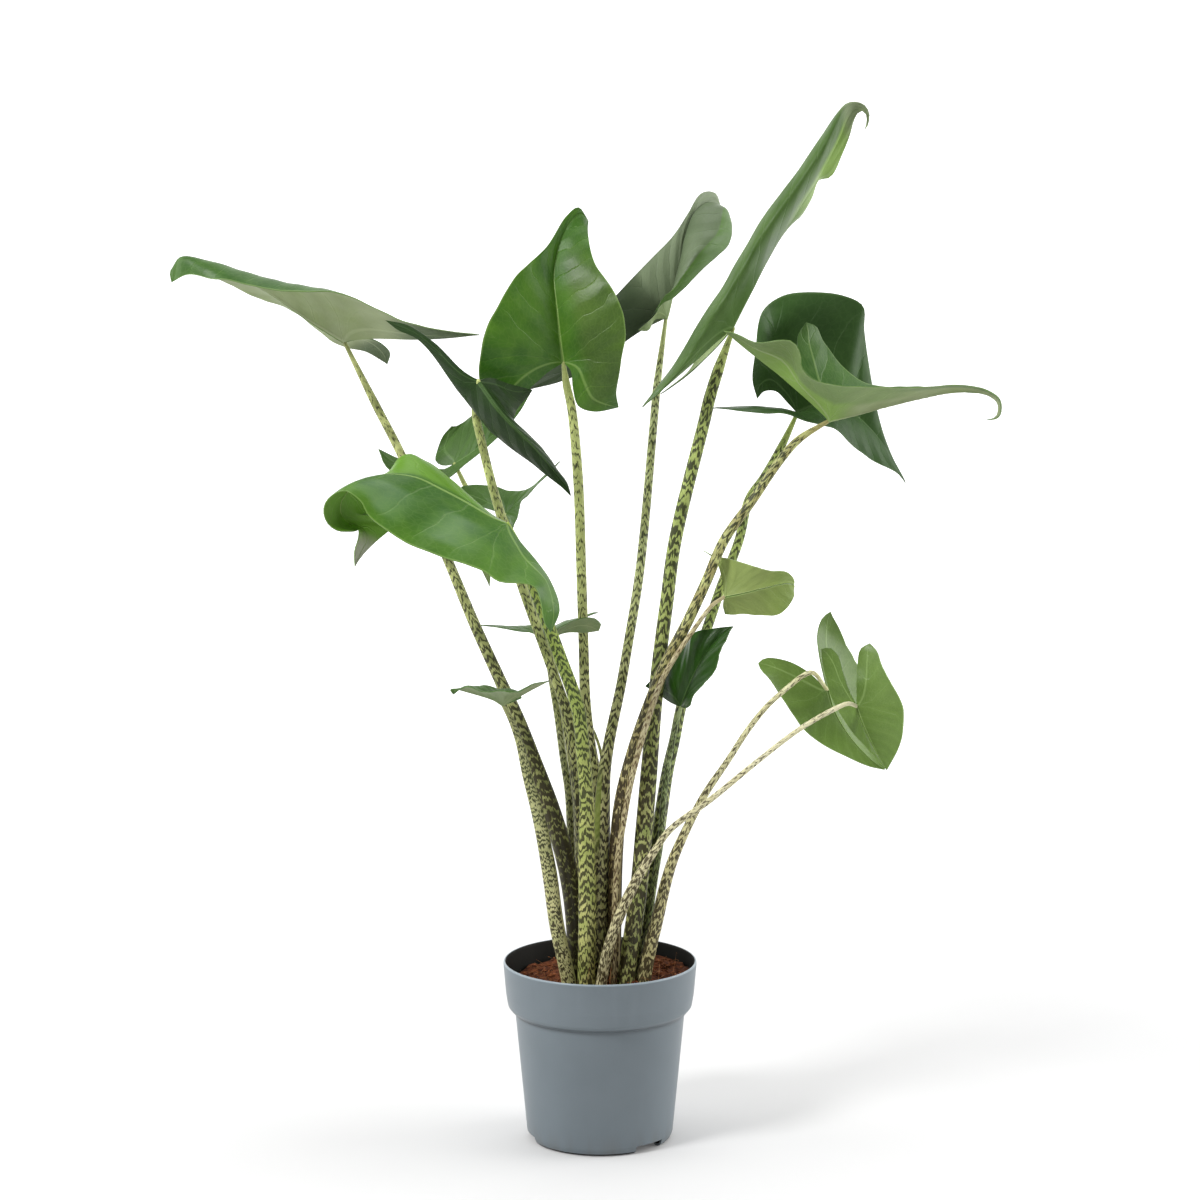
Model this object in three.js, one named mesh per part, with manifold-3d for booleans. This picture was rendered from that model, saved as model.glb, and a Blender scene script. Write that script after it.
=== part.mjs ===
// A potted zebrina alocasia: a nursery pot of coir with sixteen zebra-striped stalks and their blades.
// Millimetres, +Z up. The origin is the middle of the pot's foot, and -Y is the front.

import * as THREE from "three";
import { mergeVertices } from "three/addons/utils/BufferGeometryUtils.js";
import Module from "manifold-3d";

// Sizes of the pot
const RIM_RADIUS = 95;
const POT_HEIGHT = 178;
const WALL = 2;
const BAND_HEIGHT = 49;
const WALL_TOP_RADIUS = 83.5;
const WALL_FOOT_RADIUS = 73;
const FOOT_RADIUS = 67;
const FOOT_CURVE_HEIGHT = 17;
const FLOOR_RISE = 6;
const HUB_RADIUS = 22;
const CHANNEL_INNER_RADIUS = 59;
const BEND = 3;
const FOOT_BEND_HEIGHT = 7;
const BAND_FOOT_RADIUS = 90.5;
const BAND_SWELL_RADIUS = 92.5;
const BAND_SWELL_HEIGHT = 17;
const BAND_BEND_HEIGHT = 5;
const LIP = 2;
const NOTCH_WIDTH = 34;
const NOTCH_HEIGHT = 8;
const NOTCH_DEPTH = 26;
const NOTCH_ANGLES = [43.5, 163.5, 283.5];
const DRAIN_RADIUS = 4;
const DRAIN_RING_RADIUS = 41;
const DRAIN_COUNT = 6;
const DRAIN_SIDES = 12;
const POT_SIDES = 48;

// Sizes of the coir
const SOIL_LEVEL = 160;
const SOIL_RINGS = 7;
const SOIL_SIDES = 36;
const SOIL_TILT = 6;
const SOIL_MARGIN = 1;
const SOIL_SHOULDER_HEIGHT = 12;
const SOIL_BUMP = 2.2;
const CROSS_WAVE = [0.21, 1.3, 0.17, -0.6];
const SLANT_WAVE = [0.11, -0.19, 0.6];
const SOCKET_DEPTH = 40;
const SEAT_GAP = 0.35;

// Sizes of the blades and stalks
const BLADE_THICKNESS = 0.9;
const BLADE_ARCH = 0.06;
const CREST_REACH = 0.75;
const EDGE_WAVE = 1.6;
const EDGE_WAVES = 3;
const FULL_WAVE_WIDTH = 40;
const PHASE_STEP = 1.7;
const STALK_SIDES = 7;
const STALK_STEPS = 16;
const STALK_TIP_RADIUS = 1.5;
const SEAT_STEP = 0.1;
const END_SHARES = [0, 0.05, 0.1, 0.2, 0.35, 0.5, 0.7];
const ROW_PITCH = 14;
const FEWEST_LOBE_ROWS = 3;
const BIG_BLADE_COLUMNS = 4;
const SMALL_BLADE_COLUMNS = 3;
const SMALL_BLADE_LENGTH = 110;

// The plan of each leaf. A blade runs from its junction along the rib to the tip, and each half from the
// tip of its back lobe: the notch leads from there to the junction, and the edge to the blade's tip. A crest
// is given where a half is rolled over. A stalk's points hold a place and a radius, from the blade down.
const LEAVES = {
  far_left: {
    rib: [
      [-248, 40, 783], [-279, 32, 803], [-323, 24, 834], [-369, 18, 854], [-400, 14, 860],
      [-411, 12, 852], [-410, 10, 841],
    ],
    left: {
      lobe: [-114, -22, 793],
      notch: [[-147, -14, 789], [-177, 0, 787], [-222, 28, 786]],
      edge: [
        [-151, -26, 797], [-185, -28, 807], [-223, -30, 823], [-250, -32, 832],
        [-273, -36, 835], [-317, -32, 837], [-361, -22, 844], [-392, -4, 849],
      ],
      crest: [
        [-146, -20, 792], [-181, -12, 796], [-220, 2, 808], [-246, 2, 822],
        [-286, -2, 837], [-337, -6, 851], [-376, -2, 862], [-401, 6, 864],
      ],
    },
    right: {
      lobe: [-209, 84, 758],
      notch: [[-206, 74, 770], [-222, 56, 784]],
      edge: [
        [-228, 88, 768], [-256, 92, 777], [-288, 90, 799], [-320, 84, 818],
        [-349, 66, 831], [-369, 48, 841], [-394, 26, 850],
      ],
    },
    stalk: [
      [-218, 30, 724, 4.0], [-192, 22, 674, 4.2], [-147, 8, 573, 4.7], [-121, 0, 511, 5.4],
      [-97, -4, 458, 5.9], [-80, -6, 419, 7.4], [-64, -6, 374, 8.8], [-50, -6, 335, 9.3],
      [-36, -5, 289, 9.1], [-27, -5, 239, 8.6], [-22, -5, 160, 8.5],
    ],
  },
  left_drooping: {
    rib: [
      [-113, -88, 754], [-93, -104, 727], [-59, -98, 690], [-38, -85, 663],
      [-31, -83, 654], [-27, -82, 645],
    ],
    left: {
      lobe: [-64, -30, 741],
      notch: [[-86, -58, 749], [-103, -78, 756]],
      edge: [
        [-71, -38, 732], [-82, -58, 713], [-59, -66, 691], [-40, -76, 670],
        [-31, -80, 658],
      ],
    },
    right: {
      lobe: [-203, -30, 807],
      notch: [[-180, -46, 803], [-154, -64, 787], [-128, -82, 763]],
      edge: [
        [-190, -40, 798], [-173, -50, 791], [-156, -58, 775], [-140, -66, 753],
        [-119, -70, 724], [-91, -72, 697], [-53, -80, 667], [-36, -82, 654],
      ],
    },
    stalk: [
      [-117, -60, 722, 3.9], [-111, -56, 691, 4.1], [-102, -56, 653, 4.3],
      [-95, -50, 627, 4.6], [-75, -34, 555, 4.6], [-53, -18, 489, 4.6],
      [-39, -8, 447, 4.9], [-28, 0, 408, 5.9], [-21, 6, 357, 6.4], [-17, 9, 296, 6.9],
      [-10, 12, 160, 7.5],
    ],
  },
  centre: {
    rib: [
      [-35, 0, 765], [-38, -3, 787], [-41, -2, 815], [-44, 6, 851], [-36, 18, 885],
      [-19, 29, 906], [-11, 34, 899],
    ],
    left: {
      lobe: [-96, -8, 726],
      notch: [[-76, -14, 734], [-62, -16, 746], [-49, -10, 757]],
      edge: [
        [-110, -22, 735], [-115, -32, 756], [-114, -36, 772], [-109, -38, 795],
        [-97, -32, 819], [-81, -18, 847], [-50, 4, 876], [-33, 22, 903], [-21, 28, 912],
      ],
    },
    right: {
      lobe: [18, 12, 721],
      notch: [[-6, 0, 718], [-21, -6, 724], [-26, -8, 741], [-28, -5, 758]],
      edge: [
        [16, 0, 735], [20, -18, 767], [24, -26, 792], [21, -26, 817], [11, -20, 838],
        [-4, -8, 858], [-10, 8, 877], [-12, 26, 892],
      ],
    },
    stalk: [
      [-32, 8, 743, 3.9], [-27, 10, 719, 4.4], [-21, 11, 651, 4.9], [-18, 10, 563, 4.9],
      [-16, 10, 495, 4.9], [-14, 10, 433, 5.2], [-10, 11, 396, 5.4], [-2, 12, 346, 5.9],
      [4, 12, 286, 6.4], [7, 12, 160, 6.5],
    ],
  },
  rear_centre: {
    rib: [
      [65, 100, 802], [73, 106, 836], [79, 112, 861], [83, 120, 881], [93, 134, 905],
      [110, 152, 915], [123, 172, 901],
    ],
    left: {
      lobe: [-70, 54, 735],
      notch: [[-39, 62, 742], [-4, 72, 757], [24, 84, 779], [44, 92, 792]],
      edge: [
        [-39, 78, 762], [-4, 88, 803], [31, 98, 841], [53, 106, 863], [71, 114, 881],
        [87, 128, 904], [101, 146, 924], [116, 160, 923],
      ],
    },
    right: {
      lobe: [37, 76, 792],
      notch: [[47, 84, 791], [54, 92, 801]],
      edge: [
        [44, 77, 798], [53, 78, 806], [64, 82, 818], [73, 86, 823], [90, 93, 839],
        [109, 105, 856], [128, 120, 875], [131, 136, 890], [127, 154, 907],
      ],
      crest: [
        [45, 80, 794], [53, 84, 807], [60, 84, 818], [67, 80, 830], [78, 78, 847],
        [90, 84, 861], [104, 95, 878], [112, 108, 888], [118, 132, 905], [122, 150, 911],
      ],
    },
    stalk: [
      [56, 88, 735, 4.0], [53, 80, 703, 4.0], [39, 44, 559, 4.5], [27, 26, 486, 4.7],
      [20, 16, 447, 4.9], [9, 4, 397, 5.4], [4, -3, 368, 6.1], [2, -7, 340, 7.1],
      [1, -9, 300, 7.8], [-1, -9, 255, 8.1], [-2, -9, 160, 8.0],
    ],
  },
  tallest: {
    rib: [
      [128, 15, 797], [146, 18, 833], [163, 20, 868], [191, 22, 911], [212, 24, 945],
      [229, 26, 978], [237, 26, 997], [245, 25, 1005], [252, 23, 999], [252, 20, 985],
    ],
    left: {
      lobe: [40, -20, 724],
      notch: [[63, -24, 743], [89, -14, 765], [111, 2, 784]],
      edge: [
        [50, -10, 735], [67, -8, 758], [92, -8, 800], [114, -6, 836], [138, -4, 876],
        [166, 0, 918], [186, 4, 946], [208, 8, 978], [226, 14, 1002], [234, 18, 1010],
        [245, 21, 1012], [256, 22, 1002],
      ],
      crest: [
        [50, -17, 733], [79, -34, 766], [107, -42, 810], [131, -40, 845], [152, -34, 880],
        [182, -22, 921], [203, -12, 952], [222, -2, 984], [233, 14, 1004], [246, 22, 1007],
        [254, 22, 1000],
      ],
    },
    right: {
      lobe: [59, 34, 732],
      notch: [[81, 32, 748], [110, 20, 776]],
      edge: [
        [88, 52, 756], [119, 62, 804], [148, 60, 843], [170, 56, 880], [183, 52, 894],
        [194, 48, 903], [204, 44, 922], [209, 40, 938], [221, 38, 941], [232, 34, 962],
        [239, 30, 978], [242, 27, 987], [248, 23, 992],
      ],
    },
    stalk: [
      [114, 16, 757, 5.4], [105, 14, 727, 5.9], [101, 13, 709, 5.9], [73, 8, 593, 6.4],
      [65, 5, 534, 6.6], [58, 2, 479, 6.9], [52, -2, 418, 7.4], [48, -8, 369, 8.1],
      [43, -16, 309, 8.3], [38, -22, 254, 8.3], [25.5, -24, 160, 8.4],
    ],
  },
  right_rear: {
    rib: [
      [193, 62, 711], [224, 70, 720], [252, 76, 707], [280, 76, 678], [297, 72, 650],
      [301, 70, 642],
    ],
    left: {
      lobe: [154, 70, 725],
      notch: [[161, 72, 732], [173, 70, 732], [183, 66, 722]],
      edge: [
        [150, 84, 743], [153, 94, 771], [160, 102, 808], [178, 106, 822], [201, 108, 827],
        [238, 108, 825], [260, 106, 814], [261, 104, 790], [269, 96, 738], [280, 86, 687],
        [292, 76, 658],
      ],
    },
    right: {
      lobe: [108, 8, 721],
      notch: [[152, 34, 720], [180, 54, 715]],
      edge: [
        [150, -2, 718], [189, 6, 711], [223, 26, 701], [246, 44, 681], [274, 58, 662],
        [292, 66, 652],
      ],
    },
    stalk: [
      [177, 57, 678, 4.0], [160, 54, 648, 4.5], [146, 51, 628, 4.5], [136, 46, 588, 4.7],
      [118, 40, 541, 5.0], [106, 36, 506, 5.0], [93, 32, 469, 5.0], [80, 26, 428, 5.2],
      [73, 20, 394, 5.4], [66, 14, 364, 5.9], [60, 9, 326, 6.4], [53, 4, 277, 6.6],
      [30, 0, 160, 7.0],
    ],
  },
  right_front: {
    rib: [
      [219, -10, 710], [246, -14, 717], [267, -16, 723], [303, -18, 732], [336, -18, 738],
      [366, -18, 737], [379, -18, 728], [378, -18, 715], [369, -18, 711],
    ],
    left: {
      lobe: [200, 46, 801],
      notch: [[191, 36, 788], [194, 18, 760], [206, 2, 729]],
      edge: [
        [211, 50, 796], [217, 50, 783], [231, 46, 761], [248, 38, 748], [271, 26, 741],
        [303, 10, 740], [338, -4, 742], [366, -12, 741], [382, -9, 730], [381, -12, 714],
      ],
    },
    right: {
      lobe: [116, -62, 799],
      notch: [[136, -56, 782], [169, -44, 756], [192, -32, 736], [210, -18, 719]],
      edge: [
        [129, -68, 796], [146, -76, 789], [178, -84, 789], [186, -80, 778],
        [188, -76, 766], [198, -70, 756], [223, -60, 748], [258, -50, 744],
        [291, -42, 744], [335, -32, 746], [365, -24, 741], [380, -26, 731],
        [380, -23, 715],
      ],
    },
    stalk: [
      [190, -12, 692, 3.7], [171, -16, 671, 4.2], [146, -22, 635, 4.4],
      [119, -26, 597, 4.9], [102, -30, 558, 5.1], [84, -32, 519, 5.3], [65, -33, 482, 5.6],
      [53, -33, 453, 5.8], [39, -30, 413, 6.3], [29, -26, 378, 6.8], [21, -20, 342, 6.8],
      [16, -13, 291, 6.9], [14, -10, 160, 6.8],
    ],
  },
  front_left: {
    rib: [
      [-85, -136, 626], [-98, -142, 632], [-122, -150, 647], [-143, -156, 659],
      [-170, -162, 672], [-200, -166, 674], [-220, -167, 668], [-236, -166, 661],
      [-246, -164, 651], [-248, -161, 639], [-243, -158, 627], [-232, -155, 622],
      [-222, -152, 622], [-216, -150, 614], [-219, -151, 602], [-225, -152, 588],
    ],
    left: {
      lobe: [-45, -172, 530],
      notch: [[-37, -172, 551], [-45, -166, 576], [-59, -156, 595], [-73, -146, 610]],
      edge: [
        [-51, -186, 542], [-54, -194, 559], [-60, -198, 575], [-71, -202, 579],
        [-92, -206, 583], [-105, -208, 593], [-138, -212, 603], [-161, -212, 611],
        [-183, -210, 622], [-199, -207, 634], [-209, -205, 644], [-213, -203, 653],
        [-220, -202, 660], [-229, -200, 664], [-239, -198, 660], [-246, -196, 652],
        [-248, -194, 643], [-245, -191, 633], [-237, -187, 626], [-228, -181, 624],
        [-223, -173, 623], [-220, -165, 623], [-221, -160, 615], [-225, -156, 603],
      ],
    },
    right: {
      lobe: [-103, -104, 563],
      notch: [[-101, -106, 586], [-94, -120, 609]],
      edge: [
        [-114, -98, 587], [-119, -100, 625], [-127, -112, 651], [-143, -122, 669],
        [-159, -128, 681], [-174, -132, 689], [-186, -136, 687], [-203, -140, 679],
        [-219, -144, 671], [-234, -144, 661], [-245, -146, 652], [-248, -145, 639],
        [-243, -141, 627], [-233, -140, 621], [-219, -137, 625], [-206, -137, 625],
        [-197, -139, 618], [-207, -144, 609], [-217, -149, 599],
      ],
    },
    stalk: [
      [-74, -122, 598, 4.7], [-61, -106, 560, 5.7], [-45, -88, 514, 6.0],
      [-35, -76, 484, 6.2], [-26, -66, 457, 6.5], [-20, -58, 433, 6.7],
      [-16, -46, 388, 6.8], [-13, -38, 346, 7.0], [-13, -33, 306, 7.8],
      [-12, -30, 255, 8.3], [-13, -29, 160, 8.2],
    ],
  },
  small_left_rear: {
    rib: [[-92, 40, 614], [-78, 42, 628], [-55, 44, 650], [-43, 44, 662], [-39, 44, 666]],
    left: {
      lobe: [-141, 54, 632],
      notch: [[-117, 48, 621]],
      edge: [
        [-136, 58, 639], [-125, 62, 641], [-109, 62, 640], [-90, 58, 636], [-70, 50, 638],
        [-54, 47, 652],
      ],
    },
    right: {
      lobe: [-85, 14, 602],
      notch: [[-88, 28, 608]],
      edge: [[-80, 14, 616], [-77, 24, 626], [-66, 34, 639], [-52, 40, 652]],
    },
    stalk: [
      [-82, 44, 581, 2.0], [-67, 44, 529, 2.0], [-47, 42, 475, 2.0], [-27, 38, 436, 1.5],
      [-10, 34, 408, 1.5], [0, 30, 383, 1.5], [4, 28, 342, 1.7], [3, 29, 282, 2.0],
      [0, 31, 160, 3.0],
    ],
  },
  slim_left: {
    rib: [[-53, -6, 497], [-65, 2, 504], [-95, 14, 507], [-117, 26, 507]],
    left: {
      lobe: [-1, -40, 512],
      notch: [[-13, -36, 509], [-33, -22, 507]],
      edge: [
        [1, -50, 520], [-6, -56, 527], [-19, -56, 525], [-35, -40, 517], [-49, -20, 507],
        [-60, -9, 505], [-76, -2, 505], [-94, 6, 507],
      ],
    },
    right: {
      lobe: [-2, 38, 518],
      notch: [[-14, 30, 514], [-33, 12, 506]],
      edge: [
        [-8, 40, 517], [-24, 40, 511], [-43, 35, 506], [-59, 31, 504], [-70, 29, 505],
        [-94, 26, 506],
      ],
    },
    stalk: [
      [-47, 0, 455, 2.9], [-42, 8, 424, 3.4], [-36, 13, 378, 3.7], [-31, 16, 344, 4.0],
      [-29, 17, 308, 4.0], [-28, 17, 254, 4.2], [-27.5, 17, 160, 4.5],
    ],
  },
  lowest_left: {
    rib: [
      [-92, -62, 443], [-101, -64, 449], [-127, -70, 458], [-137, -72, 461],
      [-142, -72, 460], [-139, -72, 455],
    ],
    left: {
      lobe: [-48, -74, 469],
      notch: [[-64, -72, 460], [-82, -66, 449]],
      edge: [
        [-57, -88, 469], [-70, -96, 466], [-86, -98, 462], [-108, -92, 462],
        [-127, -82, 464],
      ],
    },
    right: {
      lobe: [-75, -38, 446],
      notch: [[-83, -50, 444]],
      edge: [[-78, -30, 450], [-96, -34, 455], [-115, -46, 459], [-129, -60, 461]],
    },
    stalk: [
      [-84, -56, 426, 2.9], [-77, -52, 405, 3.6], [-70, -46, 373, 4.8],
      [-59, -36, 328, 6.1], [-49, -28, 273, 7.3], [-42, -26, 220, 7.3],
      [-30, -25, 160, 7.3],
    ],
  },
  small_right: {
    rib: [
      [119, -26, 542], [136, -29, 546], [158, -27, 551], [179, -19, 554], [187, -8, 550],
      [184, 2, 543],
    ],
    left: {
      lobe: [120, -24, 525],
      notch: [[118, -24, 533]],
      edge: [
        [129, -22, 524], [139, -20, 525], [155, -20, 523], [170, -20, 524],
        [182, -16, 532], [187, -8, 542],
      ],
    },
    right: {
      lobe: [99, -8, 585],
      notch: [[111, -14, 576], [117, -22, 558]],
      edge: [
        [110, -14, 580], [121, -20, 579], [132, -28, 577], [149, -34, 572],
        [164, -28, 568], [180, -18, 565], [187, -10, 556],
      ],
    },
    stalk: [
      [107, -34, 535, 1.9], [91, -42, 515, 2.2], [73, -46, 489, 2.4], [58, -46, 462, 2.7],
      [45, -43, 423, 2.9], [36, -39, 390, 2.9], [29, -36, 360, 2.9], [23, -32, 325, 2.9],
      [17, -28, 285, 2.9], [12.5, -26.5, 160, 3.0],
    ],
  },
  right_inner: {
    rib: [
      [78, -22, 434], [87, -26, 459], [99, -28, 484], [115, -28, 504], [128, -28, 514],
    ],
    left: {
      lobe: [44, 22, 447],
      notch: [[57, 17, 440], [68, 0, 435]],
      edge: [[55, 21, 459], [70, 14, 478], [82, 4, 491], [92, -10, 505], [109, -22, 511]],
    },
    right: {
      lobe: [86, -48, 440],
      notch: [[83, -38, 436]],
      edge: [
        [90, -58, 455], [104, -62, 468], [111, -60, 483], [117, -50, 497], [123, -38, 508],
      ],
    },
    stalk: [
      [74, -18, 417, 2.4], [69, -13, 392, 2.7], [65, -8, 365, 2.9], [62, -7, 340, 2.9],
      [59, -8, 300, 2.9], [51, -7, 240, 2.9], [42, -4, 160, 3.0],
    ],
  },
  low_right_rear: {
    rib: [
      [216, -60, 458], [223, -57, 436], [239, -56, 410], [259, -58, 389], [272, -60, 380],
    ],
    left: {
      lobe: [150, -66, 484],
      notch: [[156, -65, 489], [178, -62, 486], [198, -60, 475]],
      edge: [
        [152, -70, 479], [161, -72, 469], [172, -70, 453], [182, -68, 437],
        [193, -66, 421], [214, -62, 404], [235, -61, 393], [256, -61, 384],
      ],
    },
    right: {
      lobe: [221, -26, 528],
      notch: [[213, -30, 522], [208, -36, 508], [209, -46, 490], [213, -55, 470]],
      edge: [
        [227, -20, 516], [239, -14, 493], [251, -12, 469], [267, -18, 437],
        [275, -38, 405],
      ],
    },
    stalk: [
      [201, -76, 477, 2.2], [192, -81, 475, 2.4], [181, -83, 467, 2.4],
      [159, -78, 446, 2.6], [141, -68, 421, 2.9], [122, -48, 386, 3.1],
      [103, -42, 356, 3.6], [91, -38, 333, 3.9], [80, -34, 309, 4.4], [70, -31, 284, 5.1],
      [63, -28, 259, 5.6], [55, -24, 222, 6.1], [48, -22, 194, 6.8], [42, -20, 160, 7.6],
    ],
  },
  low_right_front: {
    rib: [[241, -100, 449], [247, -104, 433], [258, -106, 410], [270, -106, 389]],
    left: {
      lobe: [208, -84, 501],
      notch: [[217, -84, 502], [225, -88, 494], [230, -94, 476]],
      edge: [
        [209, -83, 490], [214, -84, 469], [225, -87, 441], [241, -92, 420],
        [257, -98, 402],
      ],
    },
    right: {
      lobe: [254, -90, 507],
      notch: [[245, -90, 502], [242, -92, 485], [241, -98, 468]],
      edge: [
        [260, -98, 501], [263, -106, 490], [274, -114, 471], [283, -118, 449],
        [284, -116, 430], [280, -112, 411],
      ],
    },
    stalk: [
      [232, -109, 453, 2.1], [220, -109, 448, 2.4], [188, -99, 427, 2.4],
      [149, -84, 393, 2.6], [107, -72, 355, 2.9], [67, -62, 322, 3.1], [53, -56, 301, 3.6],
      [36, -48, 271, 4.8], [19, -43, 233, 5.3], [9, -39, 203, 5.3], [1, -35, 160, 5.3],
    ],
  },
  left_rear: {
    rib: [
      [-143, 68, 661], [-130, 68, 669], [-100, 76, 693], [-81, 82, 715], [-69, 86, 728],
    ],
    left: {
      lobe: [-147, 92, 696],
      notch: [[-155, 88, 687], [-161, 82, 672], [-162, 75, 663], [-155, 71, 659]],
      edge: [
        [-142, 94, 696], [-136, 95, 699], [-130, 97, 704], [-122, 98, 711],
        [-110, 102, 720], [-91, 98, 729],
      ],
    },
    right: {
      lobe: [-215, 34, 679],
      notch: [[-197, 42, 669], [-168, 55, 660], [-154, 62, 656]],
      edge: [
        [-208, 26, 662], [-190, 30, 649], [-172, 38, 642], [-149, 50, 648],
        [-132, 58, 662], [-118, 64, 672], [-99, 72, 688], [-79, 80, 711],
      ],
    },
    stalk: [
      [-132, 64, 639, 2.5], [-114, 60, 606, 2.5], [-93, 57, 574, 2.5], [-75, 54, 538, 2.5],
      [-58, 50, 488, 2.5], [-43, 46, 439, 2.5], [-34, 43, 400, 2.7], [-26, 38, 340, 3.0],
      [-23, 34, 281, 3.2], [-18, 32, 160, 3.6],
    ],
  },
};

const COLOURS = {
  pot: { color: 0x707d83, roughness: 0.55, metalness: 0 },
  soil: { color: 0x4a2a1c, roughness: 1, metalness: 0 },
  blade: { color: 0x3f6b30, roughness: 0.4, metalness: 0 },
  stalk: { color: 0x9ba06a, roughness: 0.6, metalness: 0 },
};

const wasm = await Module();
wasm.setup();

function toSolid(geometry) {
  const bare = geometry.clone();
  bare.deleteAttribute("normal");
  bare.deleteAttribute("uv");
  const merged = mergeVertices(bare, 1e-4);
  const mesh = new wasm.Mesh({
    numProp: 3,
    vertProperties: new Float32Array(merged.attributes.position.array),
    triVerts: new Uint32Array(merged.index.array),
  });
  return new wasm.Manifold(mesh);
}

function toGeometry(solid) {
  const mesh = solid.getMesh();
  return indexedGeometry(Array.from(mesh.vertProperties), Array.from(mesh.triVerts));
}

function indexedGeometry(numbers, triangles) {
  const geometry = new THREE.BufferGeometry();
  geometry.setAttribute("position", new THREE.Float32BufferAttribute(numbers, 3));
  geometry.setIndex(triangles);
  geometry.computeVertexNormals();
  return geometry;
}

function piece(name, geometry, look) {
  const mesh = new THREE.Mesh(geometry, new THREE.MeshStandardMaterial(COLOURS[look]));
  mesh.name = name;
  return mesh;
}

function vector(place) {
  return new THREE.Vector3(place[0], place[1], place[2]);
}

function smoothCurve(places) {
  return new THREE.CatmullRomCurve3(places.map(vector));
}

// The pot

function potProfile() {
  const bandFoot = POT_HEIGHT - BAND_HEIGHT;
  const half = BEND / 2;
  const outer = [
    [0, 0],
    [HUB_RADIUS, 0],
    [HUB_RADIUS + BEND, FLOOR_RISE],
    [CHANNEL_INNER_RADIUS, FLOOR_RISE],
    [CHANNEL_INNER_RADIUS + BEND, 0],
    [FOOT_RADIUS, 0],
    [FOOT_RADIUS + BEND, LIP],
    [FOOT_RADIUS + BEND + LIP, FOOT_BEND_HEIGHT],
    [WALL_FOOT_RADIUS, FOOT_CURVE_HEIGHT],
    [WALL_TOP_RADIUS, bandFoot - 1],
    [WALL_TOP_RADIUS + BEND, bandFoot],
    [BAND_FOOT_RADIUS, bandFoot + BAND_BEND_HEIGHT],
    [BAND_SWELL_RADIUS, bandFoot + BAND_SWELL_HEIGHT],
    [RIM_RADIUS, POT_HEIGHT - LIP],
    [RIM_RADIUS - WALL / 4, POT_HEIGHT],
  ];
  const inner = [
    [RIM_RADIUS - WALL, POT_HEIGHT],
    [RIM_RADIUS - WALL - WALL / 4, POT_HEIGHT - LIP],
    [BAND_SWELL_RADIUS - WALL, bandFoot + BAND_SWELL_HEIGHT],
    [BAND_FOOT_RADIUS - WALL, bandFoot + BAND_BEND_HEIGHT + 1],
    [WALL_TOP_RADIUS + 1, bandFoot + WALL],
    [WALL_TOP_RADIUS - WALL, bandFoot - 1],
    [WALL_FOOT_RADIUS - WALL, FOOT_CURVE_HEIGHT],
    [FOOT_RADIUS + BEND, FOOT_BEND_HEIGHT + 1],
    [FOOT_RADIUS + half, LIP + half],
    [FOOT_RADIUS - 1, WALL],
    [CHANNEL_INNER_RADIUS + BEND + 1, WALL],
    [CHANNEL_INNER_RADIUS + half, FLOOR_RISE + WALL],
    [HUB_RADIUS + half, FLOOR_RISE + WALL],
    [HUB_RADIUS - half, WALL],
    [0, WALL],
  ];
  return [...outer, ...inner].map(([radius, height]) => new THREE.Vector2(radius, height));
}

function buildPot() {
  const shell = new THREE.LatheGeometry(potProfile(), POT_SIDES);
  shell.rotateX(Math.PI / 2);
  let pot = toSolid(shell);
  for (const degrees of NOTCH_ANGLES) {
    const notch = new THREE.BoxGeometry(NOTCH_WIDTH, NOTCH_DEPTH, 2 * NOTCH_HEIGHT);
    notch.translate(0, -FOOT_RADIUS - BEND, 0);
    notch.rotateZ(THREE.MathUtils.degToRad(degrees));
    pot = pot.subtract(toSolid(notch));
  }
  for (let count = 0; count < DRAIN_COUNT; count += 1) {
    const drain = new THREE.CylinderGeometry(DRAIN_RADIUS, DRAIN_RADIUS, 4 * FLOOR_RISE, DRAIN_SIDES);
    drain.rotateX(Math.PI / 2);
    drain.translate(DRAIN_RING_RADIUS, 0, FLOOR_RISE);
    drain.rotateZ((2 * Math.PI * count) / DRAIN_COUNT);
    pot = pot.subtract(toSolid(drain));
  }
  return toGeometry(pot);
}

// The coir

function soilHeight(x, y) {
  const [xPace, xStart, yPace, yStart] = CROSS_WAVE;
  const [xSlant, ySlant, share] = SLANT_WAVE;
  const cross = Math.sin(x * xPace + xStart) * Math.cos(y * yPace + yStart);
  const bumps = cross + share * Math.sin(x * xSlant + y * ySlant);
  return SOIL_LEVEL + (SOIL_TILT * (x + 0.5 * y)) / RIM_RADIUS + SOIL_BUMP * bumps;
}

function soilTopRadius() {
  return BAND_FOOT_RADIUS - WALL - 1.5 * SOIL_MARGIN;
}

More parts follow.
